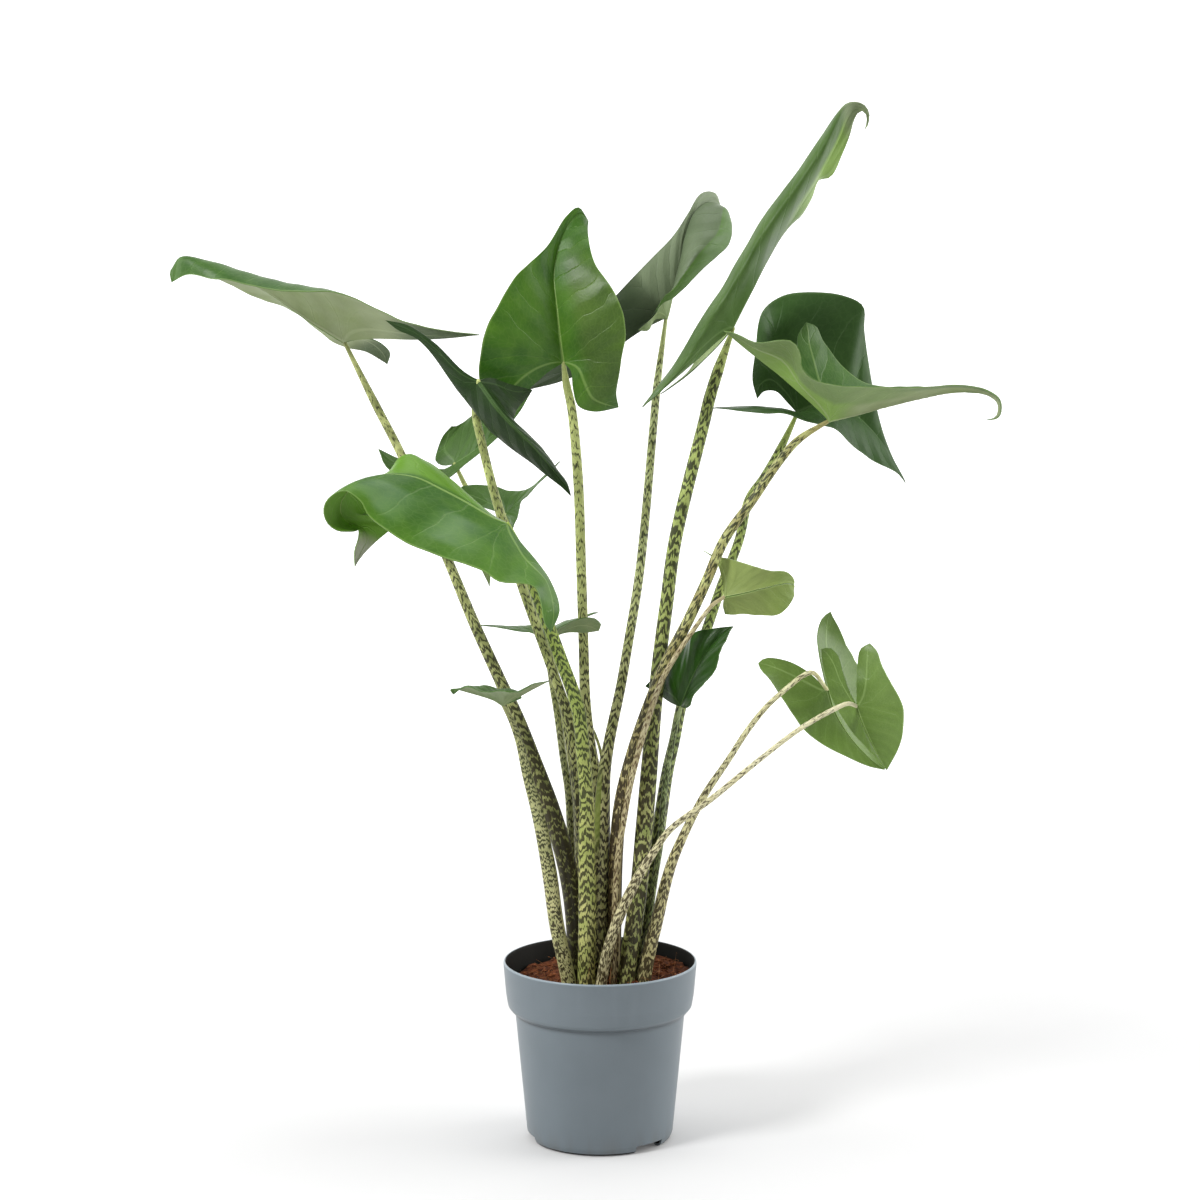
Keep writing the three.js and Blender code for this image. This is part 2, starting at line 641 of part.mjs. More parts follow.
function buildSoil(stalks) {
  const reach = soilTopRadius();
  const skirt = [
    [reach, POT_HEIGHT - BAND_HEIGHT + SOIL_SHOULDER_HEIGHT],
    [WALL_TOP_RADIUS - WALL - SOIL_MARGIN, POT_HEIGHT - BAND_HEIGHT],
    [CHANNEL_INNER_RADIUS - SOIL_MARGIN, FLOOR_RISE + WALL + SEAT_GAP],
  ];
  const numbers = [0, 0, soilHeight(0, 0)];
  const triangles = [];
  const rings = [];
  for (let ring = 1; ring <= SOIL_RINGS + skirt.length; ring += 1) {
    const row = [];
    for (let side = 0; side < SOIL_SIDES; side += 1) {
      const turn = (2 * Math.PI * side) / SOIL_SIDES;
      const onTop = ring <= SOIL_RINGS;
      const radius = onTop ? (reach * ring) / SOIL_RINGS : skirt[ring - SOIL_RINGS - 1][0];
      const x = radius * Math.cos(turn);
      const y = radius * Math.sin(turn);
      const z = onTop ? soilHeight(x, y) : skirt[ring - SOIL_RINGS - 1][1];
      row.push(numbers.length / 3);
      numbers.push(x, y, z);
    }
    rings.push(row);
  }
  const foot = numbers.length / 3;
  numbers.push(0, 0, FLOOR_RISE + WALL + SEAT_GAP);
  const last = rings[rings.length - 1];
  for (let side = 0; side < SOIL_SIDES; side += 1) {
    const next = (side + 1) % SOIL_SIDES;
    triangles.push(0, rings[0][side], rings[0][next]);
    triangles.push(foot, last[next], last[side]);
    for (let ring = 0; ring + 1 < rings.length; ring += 1) {
      triangles.push(rings[ring][side], rings[ring + 1][side], rings[ring + 1][next]);
      triangles.push(rings[ring][side], rings[ring + 1][next], rings[ring][next]);
    }
  }
  let soil = toSolid(indexedGeometry(numbers, triangles));
  for (const stalk of stalks) {
    soil = soil.subtract(toSolid(stalkTube(stalk, SEAT_GAP)));
  }
  return toGeometry(soil);
}

// The stalks

function stalkTube(points, margin) {
  const curve = smoothCurve(points);
  const frames = curve.computeFrenetFrames(STALK_STEPS, false);
  const numbers = [];
  for (let step = 0; step <= STALK_STEPS; step += 1) {
    const along = curve.getUtoTmapping(step / STALK_STEPS) * (points.length - 1);
    const before = Math.min(Math.floor(along), points.length - 2);
    const share = along - before;
    const radius = points[before][3] * (1 - share) + points[before + 1][3] * share + margin;
    const middle = curve.getPointAt(step / STALK_STEPS);
    if (step === STALK_STEPS) {
      middle.addScaledVector(frames.tangents[step], margin);
    }
    for (let side = 0; side < STALK_SIDES; side += 1) {
      const turn = (2 * Math.PI * side) / STALK_SIDES;
      const spot = middle.clone();
      spot.addScaledVector(frames.normals[step], radius * Math.cos(turn));
      spot.addScaledVector(frames.binormals[step], radius * Math.sin(turn));
      numbers.push(spot.x, spot.y, spot.z);
    }
  }
  const triangles = [];
  for (let step = 0; step < STALK_STEPS; step += 1) {
    for (let side = 0; side < STALK_SIDES; side += 1) {
      const here = step * STALK_SIDES + side;
      const beside = step * STALK_SIDES + ((side + 1) % STALK_SIDES);
      triangles.push(here, beside, beside + STALK_SIDES, here, beside + STALK_SIDES, here + STALK_SIDES);
    }
  }
  const end = STALK_STEPS * STALK_SIDES;
  for (let side = 1; side + 1 < STALK_SIDES; side += 1) {
    triangles.push(0, side + 1, side, end, end + side, end + side + 1);
  }
  return indexedGeometry(numbers, triangles);
}

// The blades

function bladeSurface(plan, phase) {
  const rib = smoothCurve(plan.rib);
  const ribLength = rib.getLength();
  const columns = ribLength < SMALL_BLADE_LENGTH ? SMALL_BLADE_COLUMNS : BIG_BLADE_COLUMNS;
  const ribRows = Math.round(ribLength / ROW_PITCH);
  const spots = [];
  const triangles = [];
  const keep = (spot) => spots.push(spot) - 1;
  const ribRow = [];
  for (let row = 0; row <= ribRows; row += 1) {
    ribRow.push(keep(rib.getPointAt(row / ribRows)));
  }
  for (const side of ["left", "right"]) {
    const half = plan[side];
    const turn = side === "left" ? 1 : -1;
    const notch = smoothCurve([half.lobe, ...half.notch, plan.rib[0]]);
    const tip = plan.rib[plan.rib.length - 1];
    const edge = smoothCurve([half.lobe, ...half.edge, tip]);
    const crest = half.crest ? smoothCurve([half.lobe, ...half.crest, tip]) : null;
    const notchLength = notch.getLength();
    const whole = notchLength + ribLength;
    const lobeRows = Math.max(FEWEST_LOBE_ROWS, Math.round(notchLength / ROW_PITCH));
    const rows = lobeRows + ribRows;
    const grid = [[keep(vector(half.lobe))]];
    for (let row = 1; row < rows; row += 1) {
      const onLobe = row < lobeRows;
      const share = onLobe
        ? ((row / lobeRows) * notchLength) / whole
        : (notchLength + ((row - lobeRows) / ribRows) * ribLength) / whole;
      const inner = onLobe ? notch.getPointAt(row / lobeRows) : spots[ribRow[row - lobeRows]];
      const outer = edge.getPointAt(share);
      const across = outer.clone().sub(inner);
      const along = edge.getTangentAt(share).add(notch.getTangentAt(1).multiplyScalar(0.001));
      const width = across.length();
      const up = along.clone().cross(across).multiplyScalar(turn / width);
      const middle = inner.clone().add(outer).multiplyScalar(0.5);
      if (crest) {
        middle.add(crest.getPointAt(share).sub(middle).clampLength(0, CREST_REACH * width));
      } else {
        middle.addScaledVector(up, BLADE_ARCH * width);
      }
      const fullness = Math.min(1, width / FULL_WAVE_WIDTH);
      const swing = Math.sin(2 * Math.PI * EDGE_WAVES * share + phase) * EDGE_WAVE * fullness;
      const line = [onLobe ? keep(inner) : ribRow[row - lobeRows]];
      for (let column = 1; column <= columns; column += 1) {
        const s = column / columns;
        const spot = new THREE.Vector3();
        spot.addScaledVector(inner, (1 - s) * (1 - 2 * s));
        spot.addScaledVector(middle, 4 * s * (1 - s));
        spot.addScaledVector(outer, s * (2 * s - 1));
        spot.addScaledVector(up, swing * s * s);
        line.push(keep(spot));
      }
      grid.push(line);
    }
    grid.push([ribRow[ribRows]]);
    for (let row = 0; row + 1 < grid.length; row += 1) {
      for (let column = 0; column < columns; column += 1) {
        const a = grid[row][Math.min(column, grid[row].length - 1)];
        const b = grid[row + 1][Math.min(column, grid[row + 1].length - 1)];
        const c = grid[row + 1][Math.min(column + 1, grid[row + 1].length - 1)];
        const d = grid[row][Math.min(column + 1, grid[row].length - 1)];
        for (const corners of [[a, b, c], [a, c, d]]) {
          if (new Set(corners).size === 3) {
            triangles.push(turn > 0 ? corners : corners.reverse());
          }
        }
      }
    }
  }
  return { spots, triangles };
}

// Each corner's normal leans on its faces by the angle that they open there, so a sharp rib stays even.
function surfaceNormals({ spots, triangles }) {
  const normals = spots.map(() => new THREE.Vector3());
  for (const [a, b, c] of triangles) {
    for (const [corner, next, last] of [[a, b, c], [b, c, a], [c, a, b]]) {
      const first = spots[next].clone().sub(spots[corner]);
      const second = spots[last].clone().sub(spots[corner]);
      const face = first.clone().cross(second).normalize();
      normals[corner].addScaledVector(face, first.angleTo(second));
    }
  }
  return normals.map((normal) => normal.normalize());
}

function thickBlade(surface, normals) {
  const count = surface.spots.length;
  const numbers = [];
  for (const sign of [0.5, -0.5]) {
    for (let index = 0; index < count; index += 1) {
      const spot = surface.spots[index].clone().addScaledVector(normals[index], sign * BLADE_THICKNESS);
      numbers.push(spot.x, spot.y, spot.z);
    }
  }
  const triangles = [];
  const open = new Map();
  for (const [a, b, c] of surface.triangles) {
    triangles.push(a, b, c, count + a, count + c, count + b);
    for (const [from, to] of [[a, b], [b, c], [c, a]]) {
      if (!open.delete(`${to} ${from}`)) {
        open.set(`${from} ${to}`, [from, to]);
      }
    }
  }
  for (const [from, to] of open.values()) {
    triangles.push(from, count + from, count + to, from, count + to, to);
  }
  return indexedGeometry(numbers, triangles);
}

function distanceTo(surface, spot) {
  let nearest = Infinity;
  const triangle = new THREE.Triangle();
  const closest = new THREE.Vector3();
  for (const corners of surface.triangles) {
    triangle.set(...corners.map((corner) => surface.spots[corner]));
    triangle.closestPointToPoint(spot, closest);
    nearest = Math.min(nearest, closest.distanceTo(spot));
  }
  return nearest;
}

// How near the upper end of a stalk comes to the middle of its blade's sheet.
function endClearance(surface, stalk) {
  const places = stalkTube(stalk, 0).attributes.position;
  let nearest = distanceTo(surface, vector(stalk[0]));
  for (let side = 0; side < STALK_SIDES; side += 1) {
    const start = new THREE.Vector3().fromBufferAttribute(places, side);
    const next = new THREE.Vector3().fromBufferAttribute(places, side + STALK_SIDES);
    for (const share of END_SHARES) {
      nearest = Math.min(nearest, distanceTo(surface, start.clone().lerp(next, share)));
    }
  }
  return nearest;
}

// A stalk ends just under the blade's junction, on the side that it comes from, clear of both halves.
function seatStalk(plan, surface, normals) {
  const seat = vector(plan.rib[0]);
  const down = vector(plan.stalk[0]).sub(seat);
  const under = normals[0].clone().multiplyScalar(Math.sign(normals[0].dot(down)));
  const foot = plan.stalk[plan.stalk.length - 1];
  const sunk = [foot[0], foot[1], SOIL_LEVEL - SOCKET_DEPTH, foot[3]];
  let stalk;
  do {
    seat.addScaledVector(under, SEAT_STEP);
    stalk = [[seat.x, seat.y, seat.z, STALK_TIP_RADIUS], ...plan.stalk, sunk];
  } while (endClearance(surface, stalk) < BLADE_THICKNESS / 2 + SEAT_GAP);
  return stalk;
}

function buildPlant() {
  const plant = new THREE.Group();
  const stalks = [];
  let phase = 0;
  for (const [name, plan] of Object.entries(LEAVES)) {
    const surface = bladeSurface(plan, phase);
    const normals = surfaceNormals(surface);
    const stalk = seatStalk(plan, surface, normals);
    plant.add(piece(`leaf_${name}`, thickBlade(surface, normals), "blade"));
    plant.add(piece(`petiole_${name}`, stalkTube(stalk, 0), "stalk"));
    stalks.push(stalk);
    phase += PHASE_STEP;
  }
  plant.add(piece("pot", buildPot(), "pot"));
  plant.add(piece("soil", buildSoil(stalks), "soil"));
  return plant;
}

export default buildPlant();
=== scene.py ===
"""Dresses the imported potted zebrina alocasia: its blades, stalks, coir and nursery pot.

Plans and sizes are in millimetres, in the part's own frame, and the meshes are in metres.
"""

from __future__ import annotations

import logging
import math
import random
from dataclasses import dataclass, field
from enum import Enum
from typing import Callable, Optional

import bmesh
import bpy
from mathutils import Matrix, Vector
from mathutils.noise import noise


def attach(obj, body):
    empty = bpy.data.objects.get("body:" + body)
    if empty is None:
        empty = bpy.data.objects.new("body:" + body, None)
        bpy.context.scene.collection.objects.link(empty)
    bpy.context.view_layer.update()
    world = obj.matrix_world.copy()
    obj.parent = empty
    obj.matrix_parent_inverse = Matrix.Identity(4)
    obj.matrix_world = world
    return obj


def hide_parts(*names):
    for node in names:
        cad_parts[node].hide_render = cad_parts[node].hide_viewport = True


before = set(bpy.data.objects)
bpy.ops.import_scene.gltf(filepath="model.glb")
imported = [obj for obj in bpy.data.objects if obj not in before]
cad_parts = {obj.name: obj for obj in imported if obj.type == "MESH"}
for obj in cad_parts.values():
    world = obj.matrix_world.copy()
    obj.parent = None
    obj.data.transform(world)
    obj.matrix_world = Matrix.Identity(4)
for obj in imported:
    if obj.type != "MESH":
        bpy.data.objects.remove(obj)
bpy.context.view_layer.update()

LOG = logging.getLogger("alocasia")
MM = 0.001
BODY = "root"
Piece = bpy.types.Object
Material = bpy.types.Material
Tree = bpy.types.NodeTree
Socket = bpy.types.NodeSocket
Point = tuple[float, float, float]
Girth = tuple[float, float, float, float]
Pair = tuple[float, float]
Screen = tuple[int, int, int]

# Camera, as the photograph stands
EYE = (0.0, -3.0, 0.964)
PITCH_DOWN = 8.13
FOCAL_PIXELS = 3133.0
FRAME_PIXELS = 1200.0
SENSOR = 36.0
FARTHEST = 40.0

# Sizes of the pot, in millimetres
RIM_RADIUS = 95.0
POT_HEIGHT = 178.0
WALL = 2.0
BAND_HEIGHT = 49.0
WALL_TOP_RADIUS = 83.5
WALL_FOOT_RADIUS = 73.0
FOOT_RADIUS = 67.0
FOOT_CURVE_HEIGHT = 17.0
FLOOR_RISE = 6.0
HUB_RADIUS = 22.0
CHANNEL_INNER_RADIUS = 59.0
BEND = 3.0
FOOT_BEND_HEIGHT = 7.0
BAND_FOOT_RADIUS = 90.5
BAND_SWELL_RADIUS = 92.5
BAND_SWELL_HEIGHT = 17.0
BAND_BEND_HEIGHT = 5.0
LIP = 2.0
NOTCH_WIDTH = 34.0
NOTCH_HEIGHT = 8.0
NOTCH_DEPTH = 26.0
NOTCH_ANGLES = (43.5, 163.5, 283.5)
DRAIN_RADIUS = 4.0
DRAIN_RING_RADIUS = 41.0
DRAIN_COUNT = 6

# Sizes of the coir, in millimetres
SOIL_LEVEL = 160.0
SOIL_TILT = 6.0
SOIL_BUMP = 2.2
CROSS_WAVE = (0.21, 1.3, 0.17, -0.6)
SLANT_WAVE = (0.11, -0.19, 0.6)
SOCKET_DEPTH = 40.0

# Sizes of the blades and stalks, in millimetres
BLADE_THICKNESS = 0.9
BLADE_ARCH = 0.06
CREST_REACH = 0.75
EDGE_WAVE = 1.6
EDGE_WAVES = 3
FULL_WAVE_WIDTH = 40.0
STALK_TIP_RADIUS = 1.8
SMALL_BLADE_LENGTH = 110.0
TINY = 1e-6

# What changes from one leaf to the next
PHASE_STEP = 1.7
SEED_STEP = 3.1
FIRST_LIP_TURN = 0.13
LIP_TURN_STEP = 0.37

# How side veins bend: the curve of a vein, and the curve and lean of a lobe's own rib
VEIN_CURVE = 1.25
LOBE_RIB_CURVE = 0.6
LOBE_RIB_LEAN = 0.5

# How high each part of a blade's two faces stands, as a share of the relief
TOP_HEIGHTS = {"Side": -0.3, "Rib": 0.25, "Quilt": 0.7, "Net": -0.05}
UNDER_HEIGHTS = {"Side": 0.5, "Rib": 0.6, "Quilt": 0.7, "Net": -0.05}


def linear(colour: Screen, share: float = 1.0) -> tuple[float, ...]:
    """Turns a colour into linear light.

    Args:
        colour: the colour in 0 to 255 screen values.
        share: makes it darker or lighter first.

    Returns:
        The linear colour with its alpha.
    """
    screen = (min(255, int(value * share)) / 255.0 for value in colour)
    parts = (s / 12.92 if s <= 0.04045 else ((s + 0.055) / 1.055) ** 2.4 for s in screen)
    return (*parts, 1.0)


@dataclass(frozen=True)
class HalfPlan:
    """One half of a blade: its back lobe's tip, the notch to the junction, and the edge to the tip."""

    lobe: Point
    notch: list[Point]
    edge: list[Point]
    crest: Optional[list[Point]] = None


@dataclass(frozen=True)
class LeafPlan:
    """The rib from junction to tip, both halves, and the stalk from the blade down, with its radii."""

    rib: list[Point]
    left: HalfPlan
    right: HalfPlan
    stalk: list[Girth]


LEAVES: dict[str, LeafPlan] = {
    "far_left": LeafPlan(
        rib=[(-248, 40, 783), (-279, 32, 803), (-323, 24, 834), (-369, 18, 854), (-400, 14, 860),
            (-411, 12, 852), (-410, 10, 841)],
        left=HalfPlan(lobe=(-114, -22, 793), notch=[(-147, -14, 789), (-177, 0, 787), (-222, 28, 786)],
            edge=[(-151, -26, 797), (-185, -28, 807), (-223, -30, 823), (-250, -32, 832), (-273, -36, 835),
                (-317, -32, 837), (-361, -22, 844), (-392, -4, 849)],
            crest=[(-146, -20, 792), (-181, -12, 796), (-220, 2, 808), (-246, 2, 822), (-286, -2, 837),
                (-337, -6, 851), (-376, -2, 862), (-401, 6, 864)]),
        right=HalfPlan(lobe=(-209, 84, 758), notch=[(-206, 74, 770), (-222, 56, 784)],
            edge=[(-228, 88, 768), (-256, 92, 777), (-288, 90, 799), (-320, 84, 818), (-349, 66, 831),
                (-369, 48, 841), (-394, 26, 850)]),
        stalk=[(-218, 30, 724, 4), (-192, 22, 674, 4.2), (-147, 8, 573, 4.7), (-121, 0, 511, 5.4),
            (-97, -4, 458, 5.9), (-80, -6, 419, 7.4), (-64, -6, 374, 8.8), (-50, -6, 335, 9.3),
            (-36, -5, 289, 9.1), (-27, -5, 239, 8.6), (-22, -5, 160, 8.5)]),
    "left_drooping": LeafPlan(
        rib=[(-113, -88, 754), (-93, -104, 727), (-59, -98, 690), (-38, -85, 663), (-31, -83, 654),
            (-27, -82, 645)],
        left=HalfPlan(lobe=(-64, -30, 741), notch=[(-86, -58, 749), (-103, -78, 756)],
            edge=[(-71, -38, 732), (-82, -58, 713), (-59, -66, 691), (-40, -76, 670), (-31, -80, 658)]),
        right=HalfPlan(lobe=(-203, -30, 807), notch=[(-180, -46, 803), (-154, -64, 787), (-128, -82, 763)],
            edge=[(-190, -40, 798), (-173, -50, 791), (-156, -58, 775), (-140, -66, 753), (-119, -70, 724),
                (-91, -72, 697), (-53, -80, 667), (-36, -82, 654)]),
        stalk=[(-117, -60, 722, 3.9), (-111, -56, 691, 4.1), (-102, -56, 653, 4.3), (-95, -50, 627, 4.6),
            (-75, -34, 555, 4.6), (-53, -18, 489, 4.6), (-39, -8, 447, 4.9), (-28, 0, 408, 5.9),
            (-21, 6, 357, 6.4), (-17, 9, 296, 6.9), (-10, 12, 160, 7.5)]),
    "centre": LeafPlan(
        rib=[(-35, 0, 765), (-38, -3, 787), (-41, -2, 815), (-44, 6, 851), (-36, 18, 885), (-19, 29, 906),
            (-11, 34, 899)],
        left=HalfPlan(lobe=(-96, -8, 726), notch=[(-76, -14, 734), (-62, -16, 746), (-49, -10, 757)],
            edge=[(-110, -22, 735), (-115, -32, 756), (-114, -36, 772), (-109, -38, 795), (-97, -32, 819),
                (-81, -18, 847), (-50, 4, 876), (-33, 22, 903), (-21, 28, 912)]),
        right=HalfPlan(lobe=(18, 12, 721), notch=[(-6, 0, 718), (-21, -6, 724), (-26, -8, 741),
                (-28, -5, 758)],
            edge=[(16, 0, 735), (20, -18, 767), (24, -26, 792), (21, -26, 817), (11, -20, 838),
                (-4, -8, 858), (-10, 8, 877), (-12, 26, 892)]),
        stalk=[(-32, 8, 743, 3.9), (-27, 10, 719, 4.4), (-21, 11, 651, 4.9), (-18, 10, 563, 4.9),
            (-16, 10, 495, 4.9), (-14, 10, 433, 5.2), (-10, 11, 396, 5.4), (-2, 12, 346, 5.9),
            (4, 12, 286, 6.4), (7, 12, 160, 6.5)]),
    "rear_centre": LeafPlan(
        rib=[(65, 100, 802), (73, 106, 836), (79, 112, 861), (83, 120, 881), (93, 134, 905), (110, 152, 915),
            (123, 172, 901)],
        left=HalfPlan(lobe=(-70, 54, 735), notch=[(-39, 62, 742), (-4, 72, 757), (24, 84, 779),
                (44, 92, 792)],
            edge=[(-39, 78, 762), (-4, 88, 803), (31, 98, 841), (53, 106, 863), (71, 114, 881),
                (87, 128, 904), (101, 146, 924), (116, 160, 923)]),
        right=HalfPlan(lobe=(37, 76, 792), notch=[(47, 84, 791), (54, 92, 801)],
            edge=[(44, 77, 798), (53, 78, 806), (64, 82, 818), (73, 86, 823), (90, 93, 839), (109, 105, 856),
                (128, 120, 875), (131, 136, 890), (127, 154, 907)],
            crest=[(45, 80, 794), (53, 84, 807), (60, 84, 818), (67, 80, 830), (78, 78, 847), (90, 84, 861),
                (104, 95, 878), (112, 108, 888), (118, 132, 905), (122, 150, 911)]),
        stalk=[(56, 88, 735, 4), (53, 80, 703, 4), (39, 44, 559, 4.5), (27, 26, 486, 4.7),
            (20, 16, 447, 4.9), (9, 4, 397, 5.4), (4, -3, 368, 6.1), (2, -7, 340, 7.1), (1, -9, 300, 7.8),
            (-1, -9, 255, 8.1), (-2, -9, 160, 8)]),
    "tallest": LeafPlan(
        rib=[(128, 15, 797), (146, 18, 833), (163, 20, 868), (191, 22, 911), (212, 24, 945), (229, 26, 978),
            (236, 26, 995), (243, 25, 1005), (250, 24, 1006), (255, 23, 1000), (255, 22, 992),
            (252, 20, 985)],
        left=HalfPlan(lobe=(40, -20, 724), notch=[(63, -24, 743), (89, -14, 765), (111, 2, 784)],
            edge=[(50, -10, 735), (67, -8, 758), (92, -8, 800), (114, -6, 836), (138, -4, 876),
                (166, 0, 918), (186, 4, 946), (208, 8, 978), (226, 14, 1002), (234, 18, 1010),
                (243, 21, 1012), (252, 22, 1009), (257, 22, 1001), (256, 21, 992)],
            crest=[(50, -17, 733), (79, -34, 766), (107, -42, 810), (131, -40, 845), (152, -34, 880),
                (182, -22, 921), (203, -12, 952), (222, -2, 984), (233, 14, 1004), (243, 22, 1009),
                (251, 23, 1007), (256, 22, 1000), (256, 21, 992)]),
        right=HalfPlan(lobe=(59, 34, 732), notch=[(81, 32, 748), (110, 20, 776)],
            edge=[(88, 52, 756), (119, 62, 804), (148, 60, 843), (170, 56, 880), (183, 52, 894),
                (194, 48, 903), (204, 44, 922), (209, 40, 938), (221, 38, 941), (232, 34, 962),
                (239, 30, 980), (242, 28, 992), (246, 26, 1001), (251, 24, 1003), (254, 22, 998),
                (254, 21, 991)]),
        stalk=[(114, 16, 757, 5.4), (105, 14, 727, 5.9), (101, 13, 709, 5.9), (73, 8, 593, 6.4),
            (65, 5, 534, 6.6), (58, 2, 479, 6.9), (52, -2, 418, 7.4), (48, -8, 369, 8.1),
            (43, -16, 309, 8.3), (38, -22, 254, 8.3), (25.5, -24, 160, 8.4)]),
    "right_rear": LeafPlan(
        rib=[(193, 62, 711), (224, 70, 720), (252, 76, 707), (280, 76, 678), (297, 72, 650), (301, 70, 642)],
        left=HalfPlan(lobe=(154, 70, 725), notch=[(161, 72, 732), (173, 70, 732), (183, 66, 722)],
            edge=[(150, 84, 743), (153, 94, 771), (160, 102, 808), (178, 106, 822), (201, 108, 827),
                (238, 108, 825), (260, 106, 814), (261, 104, 790), (269, 96, 738), (280, 86, 687),
                (292, 76, 658)]),
        right=HalfPlan(lobe=(108, 8, 721), notch=[(152, 34, 720), (180, 54, 715)],
            edge=[(150, -2, 718), (189, 6, 711), (223, 26, 701), (246, 44, 681), (274, 58, 662),
                (292, 66, 652)]),
        stalk=[(177, 57, 678, 4), (160, 54, 648, 4.5), (146, 51, 628, 4.5), (136, 46, 588, 4.7),
            (118, 40, 541, 5), (106, 36, 506, 5), (93, 32, 469, 5), (80, 26, 428, 5.2), (73, 20, 394, 5.4),
            (66, 14, 364, 5.9), (60, 9, 326, 6.4), (53, 4, 277, 6.6), (30, 0, 160, 7)]),
    "right_front": LeafPlan(
        rib=[(219, -10, 710), (246, -14, 717), (267, -16, 723), (303, -18, 732), (336, -18, 738),
            (366, -18, 737), (379, -18, 728), (378, -18, 715), (369, -18, 711)],
        left=HalfPlan(lobe=(200, 46, 801), notch=[(191, 36, 788), (194, 18, 760), (206, 2, 729)],
            edge=[(211, 50, 796), (217, 50, 783), (231, 46, 761), (248, 38, 748), (271, 26, 741),
                (303, 10, 740), (338, -4, 742), (366, -12, 741), (382, -9, 730), (381, -12, 714)]),
        right=HalfPlan(lobe=(116, -62, 799), notch=[(136, -56, 782), (169, -44, 756), (192, -32, 736),
                (210, -18, 719)],
            edge=[(129, -68, 796), (146, -76, 789), (178, -84, 789), (186, -80, 778), (188, -76, 766),
                (198, -70, 756), (223, -60, 748), (258, -50, 744), (291, -42, 744), (335, -32, 746),
                (365, -24, 741), (380, -26, 731), (380, -23, 715)]),
        stalk=[(190, -12, 692, 3.7), (171, -16, 671, 4.2), (146, -22, 635, 4.4), (119, -26, 597, 4.9),
            (102, -30, 558, 5.1), (84, -32, 519, 5.3), (65, -33, 482, 5.6), (53, -33, 453, 5.8),
            (39, -30, 413, 6.3), (29, -26, 378, 6.8), (21, -20, 342, 6.8), (16, -13, 291, 6.9),
            (14, -10, 160, 6.8)]),
    "front_left": LeafPlan(
        rib=[(-85, -136, 626), (-98, -142, 632), (-122, -150, 647), (-143, -156, 659), (-170, -162, 672),
            (-200, -166, 674), (-217, -167, 668), (-229, -166, 660), (-236, -164, 650), (-237, -161, 639),
            (-232, -158, 630), (-223, -155, 625), (-217, -152, 621), (-214, -150, 613), (-219, -151, 602),
            (-225, -152, 588)],
        left=HalfPlan(lobe=(-45, -172, 530), notch=[(-37, -172, 551), (-45, -166, 576), (-59, -156, 595),
                (-73, -146, 610)],
            edge=[(-51, -186, 542), (-54, -194, 559), (-60, -198, 575), (-71, -202, 579), (-92, -206, 583),
                (-105, -208, 593), (-138, -212, 603), (-161, -212, 611), (-183, -210, 622),
                (-199, -207, 634), (-209, -205, 644), (-213, -203, 653), (-220, -202, 660),
                (-229, -200, 664), (-239, -198, 660), (-246, -196, 652), (-248, -194, 643),
                (-245, -191, 633), (-237, -187, 626), (-228, -181, 624), (-223, -173, 623),
                (-220, -165, 623), (-221, -160, 615), (-225, -156, 603)]),
        right=HalfPlan(lobe=(-103, -104, 563), notch=[(-101, -106, 586), (-94, -120, 609)],
            edge=[(-114, -98, 587), (-119, -100, 625), (-127, -112, 651), (-143, -122, 669),
                (-159, -128, 681), (-174, -132, 689), (-184, -136, 686), (-193, -140, 676),
                (-204, -144, 667), (-211, -144, 658), (-213, -145, 648), (-211, -144, 638),
                (-204, -141, 631), (-195, -140, 629), (-188, -137, 630), (-186, -137, 626),
                (-196, -139, 618), (-207, -144, 609), (-217, -149, 599)]),
        stalk=[(-74, -122, 598, 4.7), (-61, -106, 560, 5.7), (-45, -88, 514, 6), (-35, -76, 484, 6.2),
            (-26, -66, 457, 6.5), (-20, -58, 433, 6.7), (-16, -46, 388, 6.8), (-13, -38, 346, 7),
            (-13, -33, 306, 7.8), (-12, -30, 255, 8.3), (-13, -29, 160, 8.2)]),
    "small_left_rear": LeafPlan(
        rib=[(-92, 40, 614), (-78, 42, 628), (-55, 44, 650), (-43, 44, 662), (-39, 44, 666)],
        left=HalfPlan(lobe=(-141, 54, 632), notch=[(-117, 48, 621)],
            edge=[(-136, 58, 639), (-125, 62, 641), (-109, 62, 640), (-90, 58, 636), (-70, 50, 638),
                (-54, 47, 652)]),
        right=HalfPlan(lobe=(-85, 14, 602), notch=[(-88, 28, 608)],
            edge=[(-80, 14, 616), (-77, 24, 626), (-66, 34, 639), (-52, 40, 652)]),
        stalk=[(-82, 44, 581, 2), (-67, 44, 529, 2), (-47, 42, 475, 2), (-27, 38, 436, 1.5),
            (-10, 34, 408, 1.5), (0, 30, 383, 1.5), (4, 28, 342, 1.7), (3, 29, 282, 2), (0, 31, 160, 3)]),
    "slim_left": LeafPlan(
        rib=[(-53, -6, 497), (-65, 2, 504), (-95, 14, 507), (-117, 26, 507)],
        left=HalfPlan(lobe=(-1, -40, 512), notch=[(-13, -36, 509), (-33, -22, 507)],
            edge=[(1, -50, 520), (-6, -56, 527), (-19, -56, 525), (-35, -40, 517), (-49, -20, 507),
                (-60, -9, 505), (-76, -2, 505), (-94, 6, 507)]),
        right=HalfPlan(lobe=(-2, 38, 518), notch=[(-14, 30, 514), (-33, 12, 506)],
            edge=[(-8, 40, 517), (-24, 40, 511), (-43, 35, 506), (-59, 31, 504), (-70, 29, 505),
                (-94, 26, 506)]),
        stalk=[(-47, 0, 455, 2.9), (-42, 8, 424, 3.4), (-36, 13, 378, 3.7), (-31, 16, 344, 4),
            (-29, 17, 308, 4), (-28, 17, 254, 4.2), (-27.5, 17, 160, 4.5)]),
    "lowest_left": LeafPlan(
